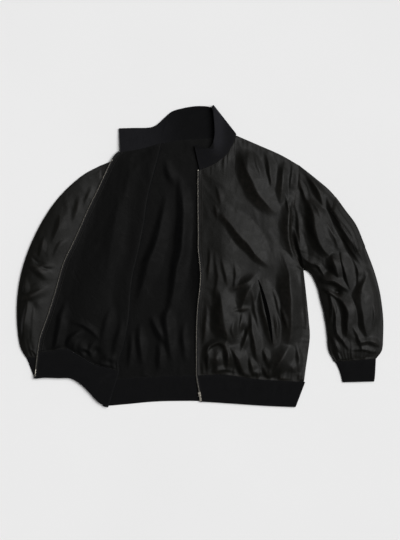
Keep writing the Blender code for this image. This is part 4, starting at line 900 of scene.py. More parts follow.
def edge_arc(top, foot, radii, way):
    """Points round a sleeve's edge, ring by ring, from its top down to its foot."""
    arc = []
    for angle in np.linspace(0, math.pi, EDGE_STEPS + 2)[1:-1]:
        share = (1 + math.cos(angle)) / 2
        arc.append(share * top + (1 - share) * foot)
        arc[-1][:, :2] += math.sin(angle) * radii * way
    return np.array(arc).swapaxes(0, 1)


def square_to(runs):
    """Level directions square to the way across each ring of a flattened tube."""
    chord = np.column_stack((runs, np.zeros(len(runs))))
    return level_axis(np.cross(UP, chord))[:, None]


def sleeve_grid(rows, side, arm_height, creases, puffs, seed, crowd=None, round_edge=3.0):
    """Closed rings of a flattened sleeve: over the top from outer to inner edge, and back below."""
    stations = through(rows, SLEEVE_RINGS)
    armhole = ARMHOLE_LEFT if side > 0 else mirrored(ARMHOLE_LEFT)
    over, under, runs = sleeve_rings(stations, armhole, arm_height, round_edge)
    radii = stations[:, 4:5]
    share = np.linspace(0, 1, ARM_CELLS + 1)
    width = np.linalg.norm(over[:, -1] - over[:, 0], axis=1)[:, None]
    edge = np.minimum(share, 1 - share) * width
    ends = np.arange(len(over))[:, None] * RING_STEP
    inside = eased(edge, SLEEVE_EDGE_EASE) * eased(np.minimum(ends, ends[::-1]), CREASE_EASE)
    lift = CREASE_DEPTH * creased(over, creases, puffs)
    lift += crumple_sum(over, ((0.6, 50.0, seed, 1.9, 0.5), (0.10, 20.0, seed + 3, 1.5, -0.3)))
    over[..., 2] += lift * inside
    gathered(over, (("top", 13.0, 2.0, 30.0, seed + 5, SEAM_DITCH),
                    ("bottom", 16.0, 1.0, 20.0, seed + 9, SEAM_DITCH)))
    if crowd is not None:
        over = crowd(over)
    over[..., 2] = kept_low(relaxed(np.maximum(over[..., 2], BACK_LEVEL + 2 * radii), 2))
    under[..., 2] += 0.3 * np.clip(crumpled(under, 38.0, seed + 12, 2.0, 0.5), 0, 1)
    inner_arc = edge_arc(over[:, -1], under[:, 0], radii, runs)
    outer_arc = edge_arc(over[:, 0], under[:, -1], radii, -runs)[:, ::-1]
    grid = np.concatenate((over, inner_arc, under, outer_arc), axis=1)
    axis = square_to(runs)
    grid[0] += axis[0] * side * SEAM_GAP / 2
    return grid, turned(grid, axis, closed=True)


def pressed(over):
    """The right sleeve's top, pressed down where the open front lies on it."""
    edge = seam(ZIP_RIGHT, 80)
    clear = np.interp(over[..., 1], edge[:, 1], edge[:, 0]) - over[..., 0] - PRESS_MARGIN
    limit = PRESSED_LEVEL + 2 * SLEEVE_LOFT * eased(clear, PRESS_EASE)
    over[..., 2] *= (1 + (over[..., 2] / limit) ** 4) ** -0.25
    return over


def half_turn(start, end, outward):
    """Points of a half turn from one end point up or down to another, bulging outward."""
    radius = abs(end[2] - start[2]) / 2
    angles = np.linspace(0, math.pi, TURN_STEPS + 1)[1:-1]
    share = ((1 - np.cos(angles)) / 2)[:, None]
    return start + share * (end - start) + np.sin(angles)[:, None] * radius * outward


def fold_over(before, after, outward):
    """Columns of a half turn that join the last column of one stretch to the first of the next."""
    return np.array([half_turn(a, b, outward) for a, b in zip(before[:, -1], after[:, 0])])


def fold_line():
    """The line on which the right front folds back, and the level direction out of the fold."""
    crest = raised(seam(CREST, SIDE_CELLS + ARM_CELLS), UNDER_LEVEL)
    along = level_axis(np.gradient(crest, axis=0))
    return crest, along, np.cross(along, UP)


def open_front_under(crest):
    """The stretch of the right front that lies under, from its side seam to the fold."""
    side = seam(mirrored(SIDE_LEFT), SIDE_CELLS)
    side[0] = HEM_UNDER[0]
    arm = raised(seam(mirrored(ARMHOLE_LEFT)[::-1], ARM_CELLS), level_bulge(ARM_CELLS, ARM_RISE_RIGHT))
    climb = np.linspace(EDGE_LEVEL, UNDER_LEVEL, UNDER_CELLS + 1)
    hem, shoulder = [raised(seam(rows, UNDER_CELLS), climb) for rows in (HEM_UNDER, SHOULDER_RIGHT[::-1])]
    hem[-1], shoulder[-1] = crest[0], crest[-1]
    under = spanned(hem, shoulder, joined(raised(side, EDGE_LEVEL), arm), crest)
    rise = EDGE_LEVEL + (UNDER_LEVEL - EDGE_LEVEL) * eased(np.arange(UNDER_CELLS + 1), UNDER_RISE_CELLS)
    under[:, :, 2] = np.maximum(under[:, :, 2], rise)
    under[:, UNDER_RISE_CELLS:, 2] = UNDER_LEVEL
    return parted(under, ("left", "top", "bottom"))


def open_floor(plan, below):
    """Lowest heights for the open front's middle surface over what it lies on."""
    floor = top_under(plan[::COARSE, ::COARSE], below, DRAPE_REACH) + SHELL_WALL / 2 + DRAPE_GAP
    return np.maximum(enlarged(floor, plan.shape[:2]), OPEN_LEVEL)


def open_front_over(crest, below):
    """The stretch of the right front that lies folded back, from the fold to the zip."""
    zip_edge = raised(seam(ZIP_RIGHT, SIDE_CELLS + ARM_CELLS), OPEN_LEVEL)
    upper_crest = crest + UP * 2 * ROLL_RADIUS
    hem, neck = [raised(seam(rows[::-1], OPEN_CELLS), OPEN_LEVEL) for rows in (HEM_OPEN, NECK_OPEN)]
    hem[0], neck[0] = upper_crest[0], upper_crest[-1]
    hem[-1], neck[-1] = zip_edge[0], zip_edge[-1]
    over = spanned(hem, neck, upper_crest, zip_edge)
    from_crest = along_path(over[..., :2].reshape(-1, 2), crest[::6, :2])[0].reshape(over.shape[:2])
    inside = rim_distance(over)
    roll = 1 - eased(from_crest, ROLL_EASE)
    plain = OPEN_LEVEL + (UNDER_LEVEL + 2 * ROLL_RADIUS - OPEN_LEVEL) * roll
    plain += OPEN_LOFT * eased(inside, OPEN_LOFT_EASE)
    over[..., 2] = relaxed(np.maximum(plain, open_floor(over, below)), 14)
    lift = OPEN_DEPTH * creased(over, CREASES_OPEN, PUFFS_OPEN, 0.85) + crumple_sum(over, CRUMPLES_OPEN)
    over[..., 2] += lift * eased(inside, CREASE_EASE)
    gathered(over, GATHERS_OPEN)
    over[..., 2] = relaxed(np.maximum(over[..., 2], open_floor(over, below) - 1.0), 3)
    over[:, 0] = upper_crest
    return parted(over, ("right", "top", "bottom"))


def open_front_grid(below):
    """The right front: from the side seam to the fold, round it, and back to the zip."""
    crest, along, outward = fold_line()
    under, over = open_front_under(crest), open_front_over(crest, below)
    turn = np.array([half_turn(a, b, out) for a, b, out in zip(under[:, -1], over[:, 0], outward)])
    grid = np.concatenate((under, turn, over), axis=1)
    return grid, turned(grid, -along[:, None])


# ---------------------------------------------------------------- ribs

def band_stations(top, foot, cells):
    """Rows of points from a rib piece's foot up to its top edge, closer together near both."""
    share = (1 - np.cos(np.linspace(0, math.pi, cells + 1))) / 2
    share = (0.6 * np.linspace(0, 1, cells + 1) + 0.4 * share)[:, None, None]
    return foot[None] + share * (top - foot)[None]


def ribbed(name, middle, wall, pitch, depth, closed=False, axis=None):
    """A rib-knit piece: its columns spaced four to a rib, and each rib raised on both faces."""
    if closed:
        middle = np.concatenate((middle, middle[:, :1]), axis=1)
    run = run_along(middle[len(middle) // 2], 3)
    ribs = round(run[-1] / pitch)
    places = np.linspace(0, run[-1], 4 * ribs + 1)
    if closed:
        places = places[:-1]
    fine = np.array([np.column_stack([np.interp(places, run, k) for k in line.T]) for line in middle])
    along = level_axis(fine[-1] - fine[0])[None] if axis is None else axis
    across = turned(fine, along, closed)
    thick = np.full(fine.shape[:2], wall)
    thick += depth * np.cos(np.arange(fine.shape[1]) * math.pi / 2)[None]
    lip = np.minimum(1.0, 0.5 + 0.25 * np.arange(len(fine)))
    thick *= lip[:, None]
    return cloth(name, fine, across, thick, closed, 70.0)


def make_waistband(below):
    """Waistband in one length: left zip, left side, back, right side, fold, right zip."""
    stretches = ((HEM_LEFT, BAND_FRONT_FOOT, NECK_CELLS + SHOULDER_CELLS, RIB_FRONT_LEVEL),
                 (HEM_BACK, BAND_BACK_FOOT, 2 * BACK_SHOULDER_CELLS + BACK_NECK_CELLS, RIB_BACK_LEVEL),
                 (HEM_UNDER, BAND_UNDER_FOOT, UNDER_CELLS, RIB_UNDER_LEVEL),
                 (HEM_OPEN[::-1], BAND_OPEN_FOOT[::-1], OPEN_CELLS, RIB_OPEN_LEVEL))
    parts = [band_stations(*[raised(seam(rows, cells), level) for rows in (top, foot)], BAND_CELLS)
             for top, foot, cells, level in stretches]
    front, opened = parts[0], parts[3]
    swell = bulge(BAND_CELLS, 1.0)[:, None]
    front[..., 2] += swell * (0.5 + 0.8 * crumpled(front, *CRUMPLE_BAND))
    floor = enlarged(top_under(opened[::4, ::COARSE], below, DRAPE_REACH), opened.shape[:2])
    floor = np.maximum(floor + RIB_WALL / 2 + DRAPE_GAP, RIB_OPEN_LEVEL - DRAPE_GAP)
    opened[..., 2] = relaxed(np.maximum(opened[..., 2], floor), 6)
    opened[..., 2] += swell * 0.6 * crumpled(opened, *CRUMPLE_BAND_OPEN)
    opened[:, 0, 2] = RIB_OPEN_LEVEL
    run = [front]
    for before, after, outward in zip(parts, parts[1:], (RIGHT, -RIGHT, RIGHT)):
        run += [fold_over(before, after, outward), after]
    middle = parted(np.concatenate(run, axis=1), ("top",), 0.1)
    return middle, ribbed("waistband", middle, RIB_WALL, 3.1, 0.7)


def collar_stretch(rows, foot):
    """Columns of the collar from the neck seam's points to a table's top edge."""
    tops = seam(rows, len(foot) - 1)
    tops[:, 2:] = np.maximum(tops[:, 2:], COLLAR_REST)
    return band_stations(raised(tops, tops[:, 3]), raised(foot, tops[:, 2]), COLLAR_ROWS)


def faded(collar):
    """Marks light painted on the collar's knit: a painted highlight where its front stretch stands, lighter
    over its outside and towards its open end, and painted shade inside the neck, where the knit keeps its
    plain dark tone.
    """
    x, y = (np.array([vertex.co for vertex in collar.data.vertices]) / MM).T[:2]
    front = (x > PAINTED_LIGHT_FOLD[0]) | ((y < PAINTED_LIGHT_FOLD[1]) & (x > PAINTED_LIGHT_FOLD[2]))
    height, middle, half, start, over = PAINTED_HIGHLIGHT_STAND
    outside = PAINTED_LIGHT_OUTSIDE + height * np.exp(-((x - middle) / half) ** 2) * np.clip((y - start) / over, 0, 1)
    # painted shade inside the neck: the knit keeps its plain dark tone there, painted lighter towards the
    # open end
    inside = 0.5 * eased(-40 - x, 110.0)
    marked(collar.data, "faded", np.where(front, outside, inside))
    return collar


def make_collar():
    """Stand collar in one length: left front edge, left neck, back, and the open right front."""
    front = collar_stretch(COLLAR_FRONT, seam(NECK_LEFT, NECK_CELLS))
    back = collar_stretch(COLLAR_BACK, seam(NECK_BACK, BACK_NECK_CELLS))
    opened = collar_stretch(COLLAR_OPEN, seam(NECK_OPEN[::-1], OPEN_CELLS))
    run = level_axis(front[-1, -1] - front[0, -1])
    turn = fold_over(front, back, np.cross(run, UP))
    stretch = np.concatenate((back, opened[:, 1:]), axis=1)
    lift = 0.9 * np.clip(crumpled(stretch, *CRUMPLE_COLLAR), 0, 2)
    lift += creased(stretch, CREASES_COLLAR, (), 0.7)
    stretch[..., 2] += lift * bulge(COLLAR_ROWS, 1.0)[:, None]
    middle = parted(np.concatenate((front, turn, stretch), axis=1), ("bottom",), 0.02)
    return faded(ribbed("collar_rib", middle, COLLAR_WALL, 3.0, 0.6))


def make_cuff(name, rows, seed):
    """Rib cuff, a flattened tube that starts at the sleeve's last ring."""
    rings = []
    share = np.linspace(0, 1, CUFF_CELLS + 1)[:, None]
    stations = through(rows, CUFF_RINGS)
    for row in stations:
        outer, inner, radius, loft = row[0:2], row[2:4], row[4], row[5]
        run = (inner - outer) / np.linalg.norm(inner - outer)
        near, far = outer + run * radius, inner - run * radius
        crown = loft * (1 - np.abs(2 * share[:, 0] - 1) ** 3)
        over = raised(near + share * (far - near), RIB_REST + 2 * radius + crown)
        over[1:-1, 2] += 0.25 * (1 + crumpled(over, 24.0, seed)[1:-1])
        under = raised((near + share * (far - near))[::-1], RIB_REST)
        out = np.append(run, 0.0)
        rings.append(np.concatenate((over, half_turn(over[-1], under[0], out), under,
                                     half_turn(under[-1], over[0], -out))))
    grid = np.array(rings)
    axis = square_to(stations[:, 2:4] - stations[:, 0:2])
    grid[0] += axis[0] * np.sign(axis[0] @ (grid[-1] - grid[0]).mean(axis=0)) * SEAM_GAP
    return ribbed(name, grid[::-1], RIB_WALL, 2.9, 0.6, True, axis[::-1])


# ---------------------------------------------------------------- pockets and tapes

def beside_slit(front, near, far, columns, rise):
    """Middle of a strip along the slit of the left pocket, between two distances from its line."""
    start, end = np.array(WELT_TOP, float), np.array(WELT_FOOT, float)
    run = (end - start) / np.linalg.norm(end - start)
    side = np.array((-run[1], run[0]))
    share = np.linspace(0, 1, WELT_CELLS + 1)[:, None]
    width = near(share) + np.linspace(0, 1, columns)[None] * (far(share) - near(share))
    plan = start + share[..., None] * (end - start) + width[..., None] * side
    grid = np.concatenate((plan, np.zeros(plan.shape[:2] + (1,))), axis=2)
    grid[..., 2] = relaxed(top_under(grid, tree_of(front), 2.5), 4)
    grid[..., 2] += rise
    return grid


def slit_width(share):
    """How far the pocket's slit gapes, end to end."""
    return SLIT_WIDTH * np.sin(np.pi * share) ** 0.8


def make_welt(front):
    """Welt of the left hand pocket, following the front it lies on, and beside it a dark sheet that paints
    the shade inside the pocket's mouth.
    """
    cells = np.arange(WELT_CELLS + 1)
    ends = np.minimum(cells, cells[::-1])[:, None]
    puff = WELT_PUFF * np.minimum(1.0, ends / 5.0) * (1 - np.arange(10) / 9.0)
    grid = beside_slit(front, slit_width, lambda share: slit_width(share) + WELT_WIDTH, 10,
                       SEAM_GAP + WELT_WALL / 2 + puff)
    # a dark sheet lying on the front in the slit: painted shade inside the pocket's mouth
    mouth = beside_slit(front, lambda share: -0.8 + 0 * share, lambda share: slit_width(share) - 0.3, 6,
                        SEAM_GAP + MOUTH_WALL / 2)
    return (grid, cloth("left_pocket_welt", grid, UP, WELT_WALL),
            cloth("left_pocket_mouth", mouth, UP, MOUTH_WALL))


def make_sleeve_pocket(sleeve, across):
    """Patch pocket at the outer edge of the left upper arm, from the sleeve's points moved out."""
    first, last = PATCH_RINGS
    columns = [-3, -2, -1] + list(range(PATCH_COLUMNS + 1))
    patch, out = sleeve[first:last + 1][:, columns].copy(), across[first:last + 1][:, columns]
    step = SHELL_WALL / 2 + SEAM_GAP + PATCH_WALL / 2 + PATCH_PUFF * eased(rim_distance(patch), 9.0)
    patch = patch + out * step[..., None]
    return patch, cloth("left_sleeve_pocket", patch, out, PATCH_WALL)


def make_tape(name, edge):
    """Zip tape along a front edge, with the raised bead that carries the teeth."""
    along = level_axis(np.gradient(edge, axis=0))
    outward = np.cross(UP, along)
    places = SEAM_GAP + np.linspace(0, TAPE_WIDTH, len(TAPE_WALLS))
    grid = edge[:, None] + outward[:, None] * places[None, :, None]
    tape = cloth(name, grid, UP, np.broadcast_to(TAPE_WALLS, grid.shape[:2]))
    return grid[:, TAPE_BEAD], tape


# ---------------------------------------------------------------- small parts, modelled

def bare():
    """Object mode with nothing selected."""
    if bpy.context.mode != "OBJECT":
        bpy.ops.object.mode_set(mode="OBJECT")
    bpy.ops.object.select_all(action="DESELECT")


def chosen(direction):
    """Selects the faces of the edited mesh that look the way given."""
    shaped = bmesh.from_edit_mesh(bpy.context.active_object.data)
    shaped.select_mode = {"FACE"}
    for face in shaped.faces:
        face.select = face.normal.dot(Vector(direction)) > 0.9
    shaped.select_flush_mode()
    bmesh.update_edit_mesh(bpy.context.active_object.data)


def begun(name, size):
    """A block of the size given, in millimetres, opened for editing."""
    bare()
    bpy.ops.mesh.primitive_cube_add(size=1.0, location=(0, 0, 0))
    piece = bpy.context.active_object
    piece.name = name
    bpy.ops.object.mode_set(mode="EDIT")
    bpy.ops.mesh.select_mode(type="FACE")
    bpy.ops.mesh.select_all(action="SELECT")
    bpy.ops.transform.resize(value=size)
    return piece


def bevelled(width, segments=1):
    """Every edge of the edited mesh bevelled, and its normals set outwards."""
    bpy.ops.mesh.select_all(action="SELECT")
    bpy.ops.mesh.bevel(offset=width, segments=segments, affect="EDGES")
    bpy.ops.mesh.select_all(action="SELECT")
    bpy.ops.mesh.normals_make_consistent(inside=False)
    bpy.ops.object.mode_set(mode="OBJECT")


def tooth_model():
    """One zip tooth: a clamp round the tape's bead and a narrower head, across y."""
    piece = begun("tooth", (1.3, 1.5, 2.4))
    chosen((0, 1, 0))
    bpy.ops.mesh.extrude_region_move(TRANSFORM_OT_translate={"value": (0, 1.0, 0)})
    bpy.ops.transform.resize(value=(0.72, 1.0, 0.78))
    bevelled(0.18)
    return piece


def stitch_model():
    """One stitch: a short rounded bar along x."""
    piece = begun("stitch", (2.3, 0.55, 0.42))
    bevelled(0.16)
    return piece


def repeated(name, model, places, alongs, ups):
    """Copies of a model joined in one piece, each at its place and turned along its line."""
    base = np.array([v.co for v in model.data.vertices])
    faces = [tuple(p.vertices) for p in model.data.polygons]
    sides = np.cross(ups, alongs)
    turns = np.stack((alongs, sides / np.linalg.norm(sides, axis=1, keepdims=True), ups), axis=1)
    points = (places[:, None] + base[None] @ turns).reshape(-1, 3) * MM
    every = [tuple(i + k * len(base) for i in face) for k in range(len(places)) for face in faces]
    mesh = bpy.data.meshes.new(name)
    mesh.from_pydata(points.tolist(), [], every)
    return placed(mesh, 35.0)


def along_line(line, spacing, start=0.0, end=0.0):
    """Evenly spaced points of a line in space and the directions along it there."""
    run = run_along(line, 3)
    places = np.arange(start, run[-1] - end, spacing)
    points, after, before = [np.column_stack([np.interp(places + step, run, k) for k in line.T])
                             for step in (0.0, 0.5, -0.5)]
    ways = after - before
    return points, ways / np.linalg.norm(ways, axis=1, keepdims=True)


def offset_lines(grid, across, thick, rows):
    """Lines on a wall's outer face, each at its distance from one of the wall's edges."""
    face = grid + np.broadcast_to(across, grid.shape) * (thick / 2)
    lines = []
    for edge, distance in rows:
        view = edge_view(face, edge)
        away = depth_from(view, 3)
        lines.append(np.array([[np.interp(distance, away[:, c], view[:, c, k]) for k in range(3)]
                               for c in range(view.shape[1])]))
    return lines


def stitched(rows, model, name):
    """All stitch lines of one kind as one piece, lying on the cloth."""
    places, alongs = [], []
    for line in rows:
        points, ways = along_line(line, STITCH_PITCH, STITCH_PITCH / 2, STITCH_PITCH / 2)
        places.append(points + UP * STITCH_RISE)
        alongs.append(ways)
    places, alongs = np.concatenate(places), np.concatenate(alongs)
    sides = np.cross(UP, alongs)
    sides /= np.linalg.norm(sides, axis=1, keepdims=True)
    return repeated(name, model, places, alongs, np.cross(alongs, sides))


def small_block(name, size, place, along):
    """A bevelled brass block of the zip, set along the tape at its place."""
    piece = begun(name + "_model", size)
    bevelled(0.35, 2)
    made = repeated(name, piece, place[None], along[None], np.array((UP,)))
    bpy.data.objects.remove(piece, do_unlink=True)
    return made


# ---------------------------------------------------------------- materials

def add(tree, kind, inputs=(), **settings):
    """A node with its settings, its inputs given values or linked to sockets."""
    made = tree.nodes.new(kind)
    for key, value in settings.items():
        setattr(made, key, value)
    for key, value in dict(inputs).items():
        if isinstance(value, bpy.types.NodeSocket):
            tree.links.new(value, made.inputs[key])
        else:
            made.inputs[key].default_value = value
    return made


def sum_of(tree, operation, a, b=0.0, c=0.0):
    """Result of one step of arithmetic on sockets or numbers."""
    return add(tree, "ShaderNodeMath", {0: a, 1: b, 2: c}, operation=operation).outputs[0]


def speckled(tree, place, scale, detail, roughness=0.5, distortion=0.0):
    """Noise over the place given."""
    return add(tree, "ShaderNodeTexNoise", {"Vector": place, "Scale": scale, "Detail": detail,
                                            "Roughness": roughness, "Distortion": distortion}).outputs[0]


def spread_over(tree, value, low, high, least=0.0, most=1.0):
    """A value's range from low to high, spread from least to most."""
    return add(tree, "ShaderNodeMapRange", {0: value, 1: low, 2: high, 3: least, 4: most}).outputs[0]


def own_place(tree):
    """Where a point lies on its own object, in metres."""
    return add(tree, "ShaderNodeTexCoord").outputs["Object"]


def mark_of(tree, label):
    """The value marked on the points of a mesh."""
    return add(tree, "ShaderNodeAttribute", attribute_name=label).outputs["Fac"]


def weave_place(tree):
    """Where a point lies on the cloth's own map, whole and as its two parts."""
    place = add(tree, "ShaderNodeUVMap", uv_map="weave").outputs[0]
    return place, add(tree, "ShaderNodeSeparateXYZ", {0: place}).outputs


def wave_of(tree, turns):
    """A wave that rises and falls once in every whole turn."""
    return sum_of(tree, "SINE", sum_of(tree, "MULTIPLY", turns, 2 * math.pi))


def group(name, inputs, outputs):
    """A new node group of plain values, with its input and output nodes."""
    tree = bpy.data.node_groups.new(name, "ShaderNodeTree")
    for label, value in inputs.items():
        socket = tree.interface.new_socket(label, in_out="INPUT", socket_type="NodeSocketFloat")
        socket.default_value = value
    for label in outputs:
        tree.interface.new_socket(label, in_out="OUTPUT", socket_type="NodeSocketFloat")
    return tree, tree.nodes.new("NodeGroupInput").outputs, tree.nodes.new("NodeGroupOutput").inputs


def threads_group():
    """Plain weave over the cloth's own map: warp and weft that rise in turn."""
    tree, given, out = group("woven threads", {"Pitch": 0.0004, "Slub": 0.4}, ("Height", "Tone"))
    place, parts = weave_place(tree)
    slub = speckled(tree, place, 900.0, 2.0)
    shift = sum_of(tree, "MULTIPLY", slub, given["Slub"])
    waves = [wave_of(tree, sum_of(tree, "ADD", sum_of(tree, "DIVIDE", parts[axis], given["Pitch"]), shift))
             for axis in (0, 1)]
    height = sum_of(tree, "MULTIPLY_ADD", sum_of(tree, "MULTIPLY", *waves), 0.5, 0.5)
    tree.links.new(height, out["Height"])
    tone = sum_of(tree, "MULTIPLY_ADD", slub, 0.5, sum_of(tree, "MULTIPLY", height, 0.5))
    tree.links.new(tone, out["Tone"])
    return tree


def crinkle_group():
    """Small crushed wrinkles left in worn cloth, at two sizes, from the object's own place."""
    tree, given, out = group("crushed wrinkles", {"Size": 0.02}, ("Height", "Mask"))
    place = own_place(tree)
    many = sum_of(tree, "DIVIDE", 1.0, given["Size"])
    broad = speckled(tree, place, many, 3.0, 0.55, 0.8)
    ridge = sum_of(tree, "ABSOLUTE", sum_of(tree, "SUBTRACT", broad, 0.5))
    ridge = sum_of(tree, "SUBTRACT", 1.0, sum_of(tree, "MULTIPLY", ridge, 4.0))
    fine = speckled(tree, place, sum_of(tree, "MULTIPLY", many, 5.0), 4.0, 0.6)
    tree.links.new(sum_of(tree, "MULTIPLY_ADD", fine, 0.35, ridge), out["Height"])
    tree.links.new(broad, out["Mask"])
    return tree


def wear_group():
    """Where cloth is rubbed: its edges and creases, broken up by a fine noise."""
    tree, given, out = group("rubbed edges", {"Amount": 1.0}, ("Mask",))
    patchy = spread_over(tree, speckled(tree, own_place(tree), 140.0, 5.0, 0.65), 0.35, 0.7)
    mask = sum_of(tree, "MULTIPLY", mark_of(tree, "wear"), patchy)
    tree.links.new(sum_of(tree, "MULTIPLY", mask, given["Amount"]), out["Mask"])
    return tree


def finish(name, roughness, specular, metallic=0.0, sheen=0.0, sheen_tint=(1, 1, 1)):
    """A material with its shader's uniform values set on its own sockets."""
    material = bpy.data.materials.new(name)
    material.use_nodes = True
    shader = material.node_tree.nodes["Principled BSDF"].inputs
    for label, value in (("Roughness", roughness), ("Specular IOR Level", specular), ("Metallic", metallic),
                         ("Sheen Weight", sheen), ("Sheen Roughness", 0.5), ("Sheen Tint", (*sheen_tint, 1))):
        shader[label].default_value = value
    return material, material.node_tree, shader


def used(tree, shared, **values):
    """The outputs of a shared group placed in a material, with its own values."""
    made = add(tree, "ShaderNodeGroup", node_tree=shared)
    for key, value in values.items():
        made.inputs[key].default_value = value
    return made.outputs


def mixed(tree, share, first, second):
    """Colour between two, by the share; a plain colour is its red, green and blue."""
    first, second = [(*tone, 1) if isinstance(tone, tuple) else tone for tone in (first, second)]
    return add(tree, "ShaderNodeMix", {"Factor": share, 6: first, 7: second}, data_type="RGBA").outputs[2]


def bumped(tree, shader, heights):
    """Bumps chained from coarse to fine: height socket, depth in metres, strength."""
    normal = None
    for height, depth, strength in heights:
        bump = add(tree, "ShaderNodeBump", {"Height": height, "Distance": depth, "Strength": strength})
        if normal is not None:
            tree.links.new(normal, bump.inputs["Normal"])
        normal = bump.outputs[0]
    tree.links.new(normal, shader["Normal"])


def cloth_finish(name, shared, tones, roughness, spread, specular, pitch, crinkle, depth, **sheen):
    """Woven cloth: threads, crushed wrinkles, patches of tone and rubbed edges."""
    material, tree, shader = finish(name, roughness, specular, **sheen)
    dark, light, rubbed = tones
    weave = used(tree, shared["threads"], Pitch=pitch)
    creases = used(tree, shared["crinkle"], Size=crinkle)
    wear = used(tree, shared["wear"], Amount=0.8)["Mask"]
    patches = sum_of(tree, "MULTIPLY", creases["Mask"], 0.5)
    base = mixed(tree, sum_of(tree, "MULTIPLY_ADD", weave["Tone"], 0.5, patches), dark, light)
    tree.links.new(mixed(tree, wear, base, rubbed), shader["Base Color"])
    rough = spread_over(tree, creases["Mask"], 0.3, 0.7, roughness - spread, roughness + spread)
    tree.links.new(rough, shader["Roughness"])
    bumped(tree, shader, ((creases["Height"], depth, 0.7), (weave["Height"], 0.00006, 0.5)))
    return material


def knit_finish(name, shared, tones, painted_light_tones):
    """Rib knit: rows of small loops over the ribs, with a soft fuzz, and light painted into its colour where
    the collar is marked.
    """
    material, tree, shader = finish(name, 0.95, 0.05, 0.0, 0.03, (0.75, 0.8, 1.0))
    dark, light, rubbed = tones
    place, parts = weave_place(tree)
    fuzz = speckled(tree, place, 1500.0, 3.0)
    across = sum_of(tree, "MULTIPLY", parts[0], 2 * math.pi / LOOP_WIDTH)
    slope = sum_of(tree, "MULTIPLY", sum_of(tree, "ABSOLUTE", sum_of(tree, "SINE", across)), 0.5)
    loops = wave_of(tree, sum_of(tree, "MULTIPLY_ADD", parts[1], 1 / LOOP_HEIGHT, slope))
    height = sum_of(tree, "MULTIPLY_ADD", loops, 0.4, fuzz)
    wear = used(tree, shared["wear"], Amount=0.5)["Mask"]
    crush = used(tree, shared["crinkle"], Size=0.03)
    tone = sum_of(tree, "MULTIPLY_ADD", height, 0.3, sum_of(tree, "MULTIPLY", crush["Mask"], 0.5))
    # the second pair of tones is painted light, mixed in where the collar is marked
    plain_knit_tone, painted_lit_tone = mixed(tree, tone, dark, light), mixed(tree, tone, *painted_light_tones)
    base = mixed(tree, mark_of(tree, "faded"), plain_knit_tone, painted_lit_tone)
    tree.links.new(mixed(tree, wear, base, rubbed), shader["Base Color"])
    bumped(tree, shader, ((crush["Height"], 0.0003, 0.5), (height, 0.00018, 0.8)))
    return material


def brass_finish(name, bright, dull, scale):
    """Brass that has been handled: dull film in patches, fine scratches, brighter high spots."""
    material, tree, shader = finish(name, 0.3, 0.5, 1.0)
    place = own_place(tree)
    stretch = add(tree, "ShaderNodeMapping", {"Vector": place, "Scale": (1.0, 9.0, 4.0)}).outputs[0]
    scratch = speckled(tree, stretch, scale * 3, 3.0)
    share = spread_over(tree, speckled(tree, place, scale, 5.0, 0.6), 0.38, 0.66)
    tree.links.new(mixed(tree, share, bright, dull), shader["Base Color"])
    rough = sum_of(tree, "MULTIPLY_ADD", share, 0.22, 0.24)
    tree.links.new(sum_of(tree, "MULTIPLY_ADD", scratch, 0.12, rough), shader["Roughness"])
    bumped(tree, shader, ((scratch, 0.00003, 0.4),))
    return material


def thread_finish(name, dark, light):
    """Sewing thread: a twisted ply that catches a little light."""
    material, tree, shader = finish(name, 0.6, 0.3)
    twist = add(tree, "ShaderNodeTexWave", {"Vector": own_place(tree), "Scale": 900.0, "Distortion": 2.0},
                bands_direction="DIAGONAL").outputs["Fac"]
    tree.links.new(mixed(tree, twist, dark, light), shader["Base Color"])
    tree.links.new(sum_of(tree, "MULTIPLY_ADD", twist, 0.2, 0.5), shader["Roughness"])
    bumped(tree, shader, ((twist, 0.00008, 0.5),))
    return material


def floor_finish():
    """Pale smooth studio surface with a barely visible unevenness."""
    material, tree, shader = finish("studio surface", 0.9, 0.1)
    cloud = speckled(tree, own_place(tree), 2.0, 3.0)
    tree.links.new(mixed(tree, cloud, (0.80, 0.80, 0.80), (0.84, 0.84, 0.84)), shader["Base Color"])
    return material


def make_finishes():
    """Every finish of the jacket, by its name in a maker's words."""
    shared = {"threads": threads_group(), "crinkle": crinkle_group(), "wear": wear_group()}
    FINISHES["shell"] = cloth_finish(
        "satin shell", shared, ((0.0017, 0.0016, 0.0011), (0.0031, 0.0030, 0.0021), (0.014, 0.012, 0.010)),
        roughness=0.52, spread=0.05, specular=0.165, pitch=0.00042, crinkle=0.022, depth=0.0002)
    FINISHES["lining"] = cloth_finish(
        "matte lining", shared, ((0.0009, 0.0009, 0.00085), (0.0019, 0.0019, 0.0018), (0.005, 0.005, 0.005)),
        roughness=0.58, spread=0.05, specular=0.066, pitch=0.0006, crinkle=0.03, depth=0.0003,
        sheen=0.02, sheen_tint=(0.8, 0.85, 1.0))
    # pocket bag cloth made darker than the lining, as painted shade inside the pocket's mouth
    FINISHES["bag_painted_shade"] = cloth_finish(
        "pocket bag", shared, ((0.0003, 0.0003, 0.0003), (0.0008, 0.0008, 0.0008), (0.002, 0.002, 0.002)),
        roughness=0.9, spread=0.03, specular=0.02, pitch=0.0006, crinkle=0.03, depth=0.0003)
    # the second pair of rib tones is light painted on the collar where it stands in the light
    FINISHES["rib"] = knit_finish(
        "rib knit", shared, ((0.0034, 0.0034, 0.0036), (0.0062, 0.0062, 0.0066), (0.013, 0.013, 0.0135)),
        ((0.010, 0.0100, 0.0118), (0.021, 0.0208, 0.0240)))
    FINISHES["tape"] = cloth_finish(
        "zip tape cloth", shared, ((0.004, 0.004, 0.0045), (0.008, 0.008, 0.009), (0.014, 0.014, 0.014)),
        roughness=0.8, spread=0.05, specular=0.2, pitch=0.0008, crinkle=0.01, depth=0.0001)
    FINISHES["brass"] = brass_finish("handled pale brass", (0.50, 0.465, 0.40), (0.20, 0.185, 0.16), 500.0)
    FINISHES["thread"] = thread_finish("sewing thread", (0.008, 0.008, 0.008), (0.024, 0.023, 0.021))


# ---------------------------------------------------------------- studio

